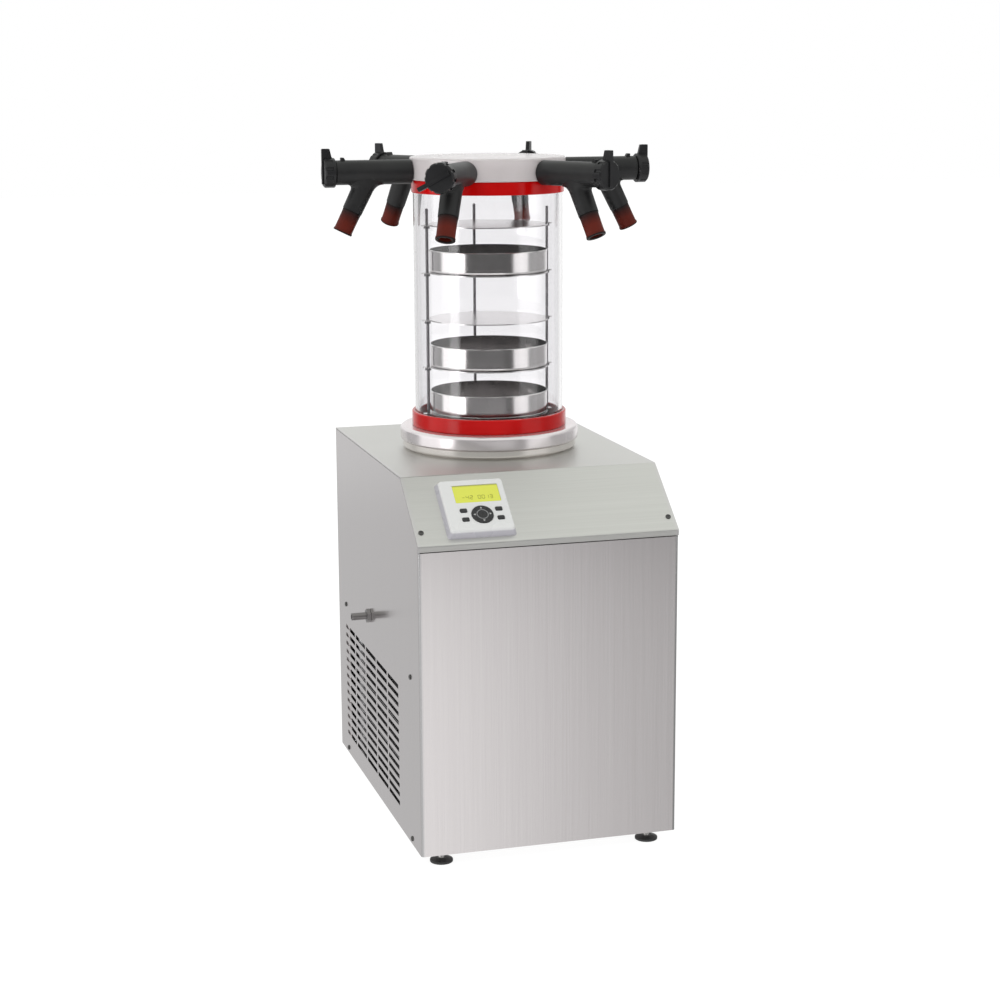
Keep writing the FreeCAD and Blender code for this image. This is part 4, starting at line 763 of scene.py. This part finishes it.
@dataclass
class FlaskValves:
    """Six rubber T-valves round the lid, each with its winged plug and flask sleeve."""

    count: int = 6
    start: float = -91.5
    branch_out: float = 55.5 * MM
    branch_tilt: float = 26.5
    branch_length: float = 88 * MM
    valve_below_lid: float = 19 * MM
    sleeve_length: float = 31 * MM
    sleeve_root: float = 12.8 * MM
    sleeve_waist: float = 12.4 * MM
    sleeve_lip: float = 13.1 * MM
    sleeve_bore: float = 8.5 * MM
    waist_end: float = 3.2 * MM
    lip_height: float = 2.6 * MM
    spigot: float = 10.6 * MM
    spigot_length: float = 11.3 * MM
    groove_depth: float = 0.25 * MM
    groove_width: float = 0.35 * MM
    groove_places: tuple[float, ...] = (0.12, 0.18, 0.24)
    rubber: Finish = Moulded(
        "valve_rubber", (0.009, 0.009, 0.0095), (0.016, 0.016, 0.0165), roughness=0.42, spread=0.15, bump=0.04,
        shine=0.3)
    knob_black: Finish = Moulded(
        "knob_black", (0.008, 0.008, 0.009), (0.014, 0.014, 0.015), roughness=0.34, spread=0.15, shine=0.3)
    sleeve_brown: Finish = BandedRubber(
        "sleeve_brown", (0.085, 0.011, 0.006), (0.115, 0.015, 0.009), roughness=0.46, spread=0.15, bump=0.03,
        shine=0.12)
    nipple_steel: Finish = TurnedSteel(
        "nipple_steel", (0.66, 0.65, 0.64), (0.74, 0.73, 0.72), roughness=0.2, bump=0.01)

    def sleeve(self) -> tuple[np.ndarray, np.ndarray, np.ndarray]:
        """Work out one sleeve along +Z from its root: a waisted tube with a rounded lip, hollow right through.

        The outer radius is root + (waist - root) s (3 - 2 s) for s from the root to the lip, and its three fine
        grooves are bell curves of the height.

        Returns:
            Points, faces and the share of the length at each point.
        """
        root, end = 0.2 * MM, self.sleeve_length
        high = np.linspace(root, end - self.waist_end, 60)
        share = high / high[-1]
        side = self.sleeve_root + (self.sleeve_waist - self.sleeve_root) * share * (3 - 2 * share)
        from_groove = high[:, None] - np.array(self.groove_places) * end
        side = side - self.groove_depth * np.exp(-((from_groove / self.groove_width) ** 2)).sum(axis=1)
        lip = rounded_outline([(self.sleeve_lip, end - self.lip_height, 0.8 * MM), (self.sleeve_lip, end, 1.0 * MM),
                               (self.sleeve_bore, end, 1.2 * MM), (self.sleeve_bore, self.spigot_length, 0),
                               (self.spigot, self.spigot_length, 0), (self.spigot, root, 0)], 5)
        profile = np.concatenate([np.stack([side, high], axis=1), lip])
        points, faces = revolve(profile, 96)
        return points, faces, points[..., 2] / self.sleeve_length

    def port(self, k: int) -> Matrix:
        """Return the frame of port k's branch at the sleeve's root, +Z towards its mouth."""
        low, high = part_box("manifold_lid")
        turn = Matrix.Rotation(math.radians(self.start + 360 / self.count * k - 90), 4, "Z")
        spot = Matrix.Translation((0, (low.y + high.y) / 2, high.z - self.valve_below_lid)) @ turn
        lean = Matrix.Rotation(math.radians(180 - self.branch_tilt), 4, "Y")
        out = Matrix.Translation(((high.x - low.x) / 2 + self.branch_out, 0, 0))
        return spot @ out @ lean @ Matrix.Translation((0, 0, self.branch_length - self.sleeve_length))

    def build(self) -> None:
        """Dress every valve and build its sleeve."""
        wear(self.rubber, *[f"valve_body_{k}" for k in range(1, self.count + 1)])
        wear(self.knob_black, *[f"valve_plug_{k}" for k in range(1, self.count + 1)])
        wear(self.nipple_steel, "port_nipples")
        shape, faces, along = self.sleeve()
        shapes = [(place(shape, self.port(k)), faces) for k in range(self.count)]
        sleeves = join("waisted_sleeves", shapes, attributes={"along": np.tile(along.ravel(), self.count)})
        keep_piece(sleeves, self.sleeve_brown, "machine", "sleeve_rubber", "flask_sleeves")


@dataclass
class ControlModule:
    """Display module on the slope: white housing, lit display with its figures, key ring and function keys."""

    console: Console = Console()
    lift: float = 0.12 * MM
    housing_edge: float = 2.2 * MM
    display_shade: float = 2.6 * MM
    figure_width: float = 3.4 * MM
    figure_height: float = 5.6 * MM
    figure_pitch: float = 5.2 * MM
    stroke: float = 0.7 * MM
    arrow_size: float = 1.7 * MM
    ring_gap: float = 0.2 * MM
    ring_width: float = 1.3 * MM
    ring_depth: float = 2 * MM
    rows: tuple[tuple[float, str], ...] = ((0.3, "-42 0013"),)
    ways: tuple[str, ...] = ("right", "up", "left", "down")
    # painted shade: the lavender grey is shade painted on the housing's sides; the lighter top colour is painted
    # light
    housing_white: Finish = PaintedShadePlastic(
        "housing_white", (0.42, 0.41, 0.45), (0.42, 0.41, 0.45), roughness=0.28, bump=0.01, coat=0.2,
        painted_light_color=(0.67, 0.67, 0.67))
    # painted shade along the display's upper edge, below the bezel
    display_green: Finish = PaintedShadePlastic(
        "display_green", (0.55, 0.575, 0.06), (0.55, 0.575, 0.06), roughness=0.15, spread=0.05, bump=0.0, coat=0.2,
        glow=0.2, painted_light_color=(0.24, 0.25, 0.05))
    key_black: Finish = Moulded("key_black", (0.012, 0.012, 0.013), (0.02, 0.02, 0.022), roughness=0.35)
    ring_grey: Finish = Moulded("key_ring_grey", (0.20, 0.20, 0.205), (0.26, 0.26, 0.265), roughness=0.3, bump=0.01)
    mark_white: Finish = Moulded("key_marks", (0.42, 0.42, 0.42), (0.5, 0.5, 0.5), bump=0.0)
    figure_ink: Finish = Moulded("display_figures", (0.20, 0.22, 0.015), (0.25, 0.27, 0.02), bump=0.0)

    def figure(self, sign: str) -> list[np.ndarray]:
        """Return the outlines of one seven-segment figure's strokes about its middle, each a long hexagon."""
        strokes = {"0": "abcdef", "1": "bc", "2": "abged", "3": "abgcd", "4": "fgbc", "5": "afgcd", "6": "afgedc",
                   "7": "abc", "8": "abcdefg", "9": "abcdfg", "-": "g"}
        wide, high, half, gap = self.figure_width, self.figure_height / 2, self.stroke / 2, 0.25 * self.stroke
        spots = {"a": (0, high, 0), "g": (0, 0, 0), "d": (0, -high, 0), "b": (wide / 2, high / 2, 1),
                 "c": (wide / 2, -high / 2, 1), "e": (-wide / 2, -high / 2, 1), "f": (-wide / 2, high / 2, 1)}
        shapes = []
        for stroke in strokes.get(sign, ""):
            x, y, upright = spots[stroke]
            reach = (high if upright else wide) / 2 - gap
            bar = np.array([(-reach, 0), (half - reach, -half), (reach - half, -half),
                            (reach, 0), (reach - half, half), (half - reach, half)])
            shapes.append((bar[:, ::-1] * (-1, 1) if upright else bar) + (x, y))
        return shapes

    def build_figures(self) -> None:
        """Lay the rows of figures on the display."""
        low, high = self.console.extent("display_window")
        shapes = []
        for share, text in self.rows:
            start = (low.x + high.x) / 2 - (len(text) - 1) / 2 * self.figure_pitch
            spot = np.array([start, low.y + share * (high.y - low.y)])
            for k, sign in enumerate(text):
                here = spot + (k * self.figure_pitch, 0)
                shapes += [slab(outline + here, high.z, high.z + self.lift) for outline in self.figure(sign)]
        shapes = [(place(points, self.console.matrix()), faces) for points, faces in shapes]
        keep_piece(join("display_figures", shapes, smooth=False), self.figure_ink, "machine", "display_green")

    def build_marks(self) -> None:
        """Put a pale triangle on each arrow key, pointing its way."""
        arrow = np.array([(1.0, 0.0), (-0.6, 0.9), (-0.6, -0.9)]) * self.arrow_size
        shapes = []
        for turns, way in enumerate(self.ways):
            low, high = self.console.extent(f"arrow_key_{way}")
            middle = (low + high) / 2
            spot = Matrix.Translation((middle.x, middle.y, high.z)) @ Matrix.Rotation(turns * math.pi / 2, 4, "Z")
            points, faces = slab(arrow, 0, self.lift)
            shapes.append((place(points, self.console.matrix() @ spot), faces))
        keep_piece(join("arrow_marks", shapes, smooth=False), self.mark_white, "machine", "key_black")

    def build_ring(self) -> None:
        """Put a fine ring round the centre key, a little above the keys."""
        low, high = self.console.extent("centre_key")
        top = high.z + self.lift
        inner = (high.x - low.x) / 2 + self.ring_gap
        outer = inner + self.ring_width
        corners = [(inner, top - self.ring_depth, 0), (outer, top - self.ring_depth, 0),
                   (outer, top, 0.4 * MM), (inner, top, 0.2 * MM)]
        points, faces = revolve(rounded_outline(corners, 4), 72)
        spot = self.console.matrix() @ Matrix.Translation(((low.x + high.x) / 2, (low.y + high.y) / 2, 0))
        keep_piece(skin("centre_key_ring", place(points, spot), faces), self.ring_grey, "machine", "key_black")

    def build(self) -> None:
        """Dress the module and build what is drawn on it."""
        up, outwards = self.console.axis(1), self.console.axis(2)
        origin = self.console.matrix().translation
        top = self.console.extent("display_housing")[1].z + origin.dot(outwards)
        upper = self.console.extent("display_window")[1].y + origin.dot(up)
        # painted shade on the housing's sides and along the display's upper edge
        wear(replace(self.housing_white, direction=tuple(outwards), start=top - 2 * self.housing_edge,
                     end=top - self.housing_edge), "display_housing")
        wear(replace(self.display_green, direction=tuple(up), start=upper - self.display_shade, end=upper),
             "display_window")
        wear(self.key_black, "centre_key", *[f"function_key_{k}" for k in range(1, 5)],
             *[f"arrow_key_{way}" for way in self.ways])
        self.build_figures()
        self.build_marks()
        self.build_ring()


@dataclass
class RearConnections:
    """Mains inlet with its switch, vacuum port and drain nozzle."""

    inlet_black: Finish = Moulded("inlet_black", (0.02, 0.02, 0.021), (0.03, 0.03, 0.032), roughness=0.35)
    port_steel: Finish = TurnedSteel("port_steel", (0.66, 0.65, 0.63), (0.76, 0.75, 0.73), roughness=0.22)
    # painted shade: a darkened copy of the port's steel
    nozzle_steel_painted_shade: Finish = TurnedSteel("nozzle_steel_painted_shade", (0.22, 0.21, 0.21), (0.30, 0.29, 0.29), roughness=0.34)

    def build(self) -> None:
        """Dress the connections."""
        wear(self.inlet_black, "mains_inlet", "mains_switch")
        wear(self.port_steel, "vacuum_port")
        wear(self.nozzle_steel_painted_shade, "drain_nozzle")


@dataclass
class CoolingPlant:
    """Everything inside the cabinet: evaporator, foam, condenser with its fan, compressor, lines and board."""

    foam: Finish = Moulded("jacket_foam", (0.62, 0.60, 0.52), (0.70, 0.68, 0.6), roughness=0.8, bump=0.1)
    copper: Finish = BrushedSteel("copper", (0.72, 0.36, 0.22), (0.80, 0.44, 0.28), roughness=0.28)
    aluminium: Finish = BrushedSteel(
        "fin_aluminium", (0.52, 0.52, 0.53), (0.66, 0.66, 0.67), roughness=0.38, grain=Grain.UPRIGHT)
    plant_steel: Finish = BrushedSteel("plant_steel", (0.42, 0.42, 0.43), (0.52, 0.52, 0.53))
    black: Finish = Moulded("plant_black", (0.014, 0.014, 0.015), (0.024, 0.024, 0.026), spread=0.15, bump=0.03)
    board: Finish = Moulded("board_green", (0.01, 0.10, 0.04), (0.015, 0.14, 0.055), roughness=0.35)

    def build(self) -> None:
        """Dress the plant."""
        wear(self.foam, "insulation_jacket")
        wear(self.copper, "evaporator_coil", "refrigerant_lines")
        wear(self.aluminium, "air_condenser")
        wear(self.plant_steel, "fan_shroud")
        wear(self.black, "fan_rotor", "compressor", "compressor_mounts")
        wear(self.board, "control_board")


# ---- studio
@dataclass
class Studio:
    """Pale floor, soft light from all round, and the camera."""

    place: tuple[float, float, float] = (-0.7730, -2.7033, 0.9992)
    heading: float = 16.1076
    dip: float = 11.5905
    roll: float = -0.28
    lens: float = 75.08
    middle: tuple[float, float, float] = (0, 0, 0.5)
    floor_size: float = 30.0
    floor_tones: tuple[Color, Color] = ((0.93, 0.93, 0.93), (0.96, 0.96, 0.96))
    floor_glow: float = 1.14
    glow_share: float = 0.8
    high_stops: Stops = (
        (-180, 1.0), (-148, 0.95), (-134, 0.6), (-124, 1.15), (-66, 1.2), (-56, 0.5), (26, 0.5), (34, 1.15),
        (64, 1.1), (74, 0.6), (134, 0.6), (150, 1.0), (180, 1.0))
    room_stops: Stops = (
        (-180, 0.84), (-160, 0.68), (-146, 0.3), (-122, 0.24), (-112, 1.4), (-81, 1.5), (-76, 3.4), (-66, 3.4),
        (-59, 0.09), (30, 0.09), (38, 1.25), (62, 1.2), (72, 0.33), (118, 0.45), (136, 1.0), (172, 1.0), (180, 0.9))
    low_stops: Stops = (
        (-180, 0.63), (-140, 0.6), (-110, 0.9), (-60, 1.0), (-22, 1.2), (11, 1.32), (14, 1.22), (20, 0.66),
        (28, 0.5), (60, 0.45), (110, 0.5), (150, 0.66), (180, 0.68))
    ceiling: Color = (0.98, 1.0, 0.965)
    ground: Color = (0.95, 0.95, 0.95)

    def camera(self) -> None:
        """Create the camera and make it the scene's own."""
        data = bpy.data.cameras.new("camera")
        data.lens, data.sensor_width = self.lens, 36.0
        data.clip_start, data.clip_end = 0.05, 100
        matrix = Matrix.Translation(self.place)
        for angle, axis in ((-self.heading, "Z"), (90 - self.dip, "X"), (self.roll, "Z")):
            matrix = matrix @ Matrix.Rotation(math.radians(angle), 4, axis)
        thing = new_object("camera", data)
        thing.matrix_world = matrix
        bpy.context.scene.camera = thing

    def ramp(self, graph: Graph, degrees: NodeSocket, stops: Stops) -> NodeSocket:
        """Return brightness by bearing, from (degrees, brightness) stops."""
        node = graph.add("ValToRGB", {0: graph.span(degrees, -180.0, 180.0)})
        node.color_ramp.interpolation = "EASE"
        elements = node.color_ramp.elements
        for k, (angle, value) in enumerate(stops):
            where = (angle + 180) / 360
            element = elements[k] if k < 2 else elements.new(where)
            element.position, element.color = where, (value, value, value, 1)
        return node.outputs[0]

    def world(self) -> None:
        """Build the room: tall light panels with greyer room between, by bearing from the front, at three heights.

        What lies above and below blends in over a range of a direction's upward share.
        """
        made = bpy.data.worlds.new("room")
        graph = start_graph(made)
        x, y, up = graph.add("SeparateXYZ", {0: graph.add("TexCoord").outputs["Generated"]}).outputs
        degrees = graph.math("DEGREES", graph.math("ARCTAN2", x, graph.math("MULTIPLY", y, -1.0)))
        light, high, low = (self.ramp(graph, degrees, stops)
                            for stops in (self.room_stops, self.high_stops, self.low_stops))
        for start, end, beyond in ((0.02, 0.08, high), (-0.18, -0.208, low), (-0.5, -0.7, self.ground),
                                   (0.3, 0.6, self.ceiling)):
            light = graph.mix(graph.span(up, start, end), light, beyond)
        room = graph.add("Background", {"Color": light, "Strength": 1.0})
        white = graph.add("Background", {"Color": (1, 1, 1, 1), "Strength": 1.0})
        seen = graph.add("LightPath").outputs["Is Camera Ray"]
        mixed = graph.add("MixShader", {0: seen, 1: room.outputs[0], 2: white.outputs[0]})
        graph.add("OutputWorld", {"Surface": mixed.outputs[0]})
        bpy.context.scene.world = made

    def floor(self) -> None:
        """Lay the pale floor, with a little light of its own so that shadows stay soft."""
        half = self.floor_size / 2
        points = np.array([[-half, -half, 0], [half, -half, 0], [half, half, 0], [-half, half, 0]])
        mesh = bpy.data.meshes.new("floor")
        mesh.from_pydata(points.tolist(), [], [[0, 1, 2, 3]])
        thing = new_object("floor", mesh)
        thing.visible_glossy = False
        thing.visible_transmission = False
        made = bpy.data.materials.new("pale_floor")
        graph = start_graph(made)
        grain = graph.noise(graph.add("TexCoord").outputs["Object"], 40.0)
        matte = graph.add("BsdfDiffuse", {"Color": graph.mix(grain, *self.floor_tones)})
        glow = graph.add("Emission", {"Color": (1, 1, 1, 1), "Strength": self.floor_glow})
        mixed = graph.add("MixShader", {0: self.glow_share, 1: matte.outputs[0], 2: glow.outputs[0]})
        graph.add("OutputMaterial", {"Surface": mixed.outputs[0]})
        mesh.materials.append(made)

    def lamp(self, name: str, spot: tuple[float, float, float], size: float, power: float) -> None:
        """Hang a soft square lamp that points at the middle of the machine."""
        data = bpy.data.lights.new(name, "AREA")
        data.shape, data.size, data.energy = "SQUARE", size, power
        thing = new_object(name, data)
        aim = Vector(self.middle) - Vector(spot)
        thing.matrix_world = Matrix.Translation(spot) @ aim.to_track_quat("-Z", "Y").to_matrix().to_4x4()
        thing.visible_camera = False
        thing.visible_glossy = False

    def build(self) -> None:
        """Build the camera, the light and the floor."""
        self.camera()
        self.world()
        self.floor()
        self.lamp("key", spot=(-1.6, -1.8, 2.4), size=1.2, power=18)
        bpy.context.scene.view_settings.view_transform = "Standard"


def main() -> None:
    """Build every sub-assembly and the studio in order."""
    logging.basicConfig(level=logging.INFO, format="%(message)s")
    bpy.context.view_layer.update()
    Studio().build()
    for assembly in (Cabinet(), Feet(), Chamber(), ShelfRack(), FlaskValves(), ControlModule(), RearConnections(),
                     CoolingPlant()):
        assembly.build()


if __name__ == "__main__":
    main()
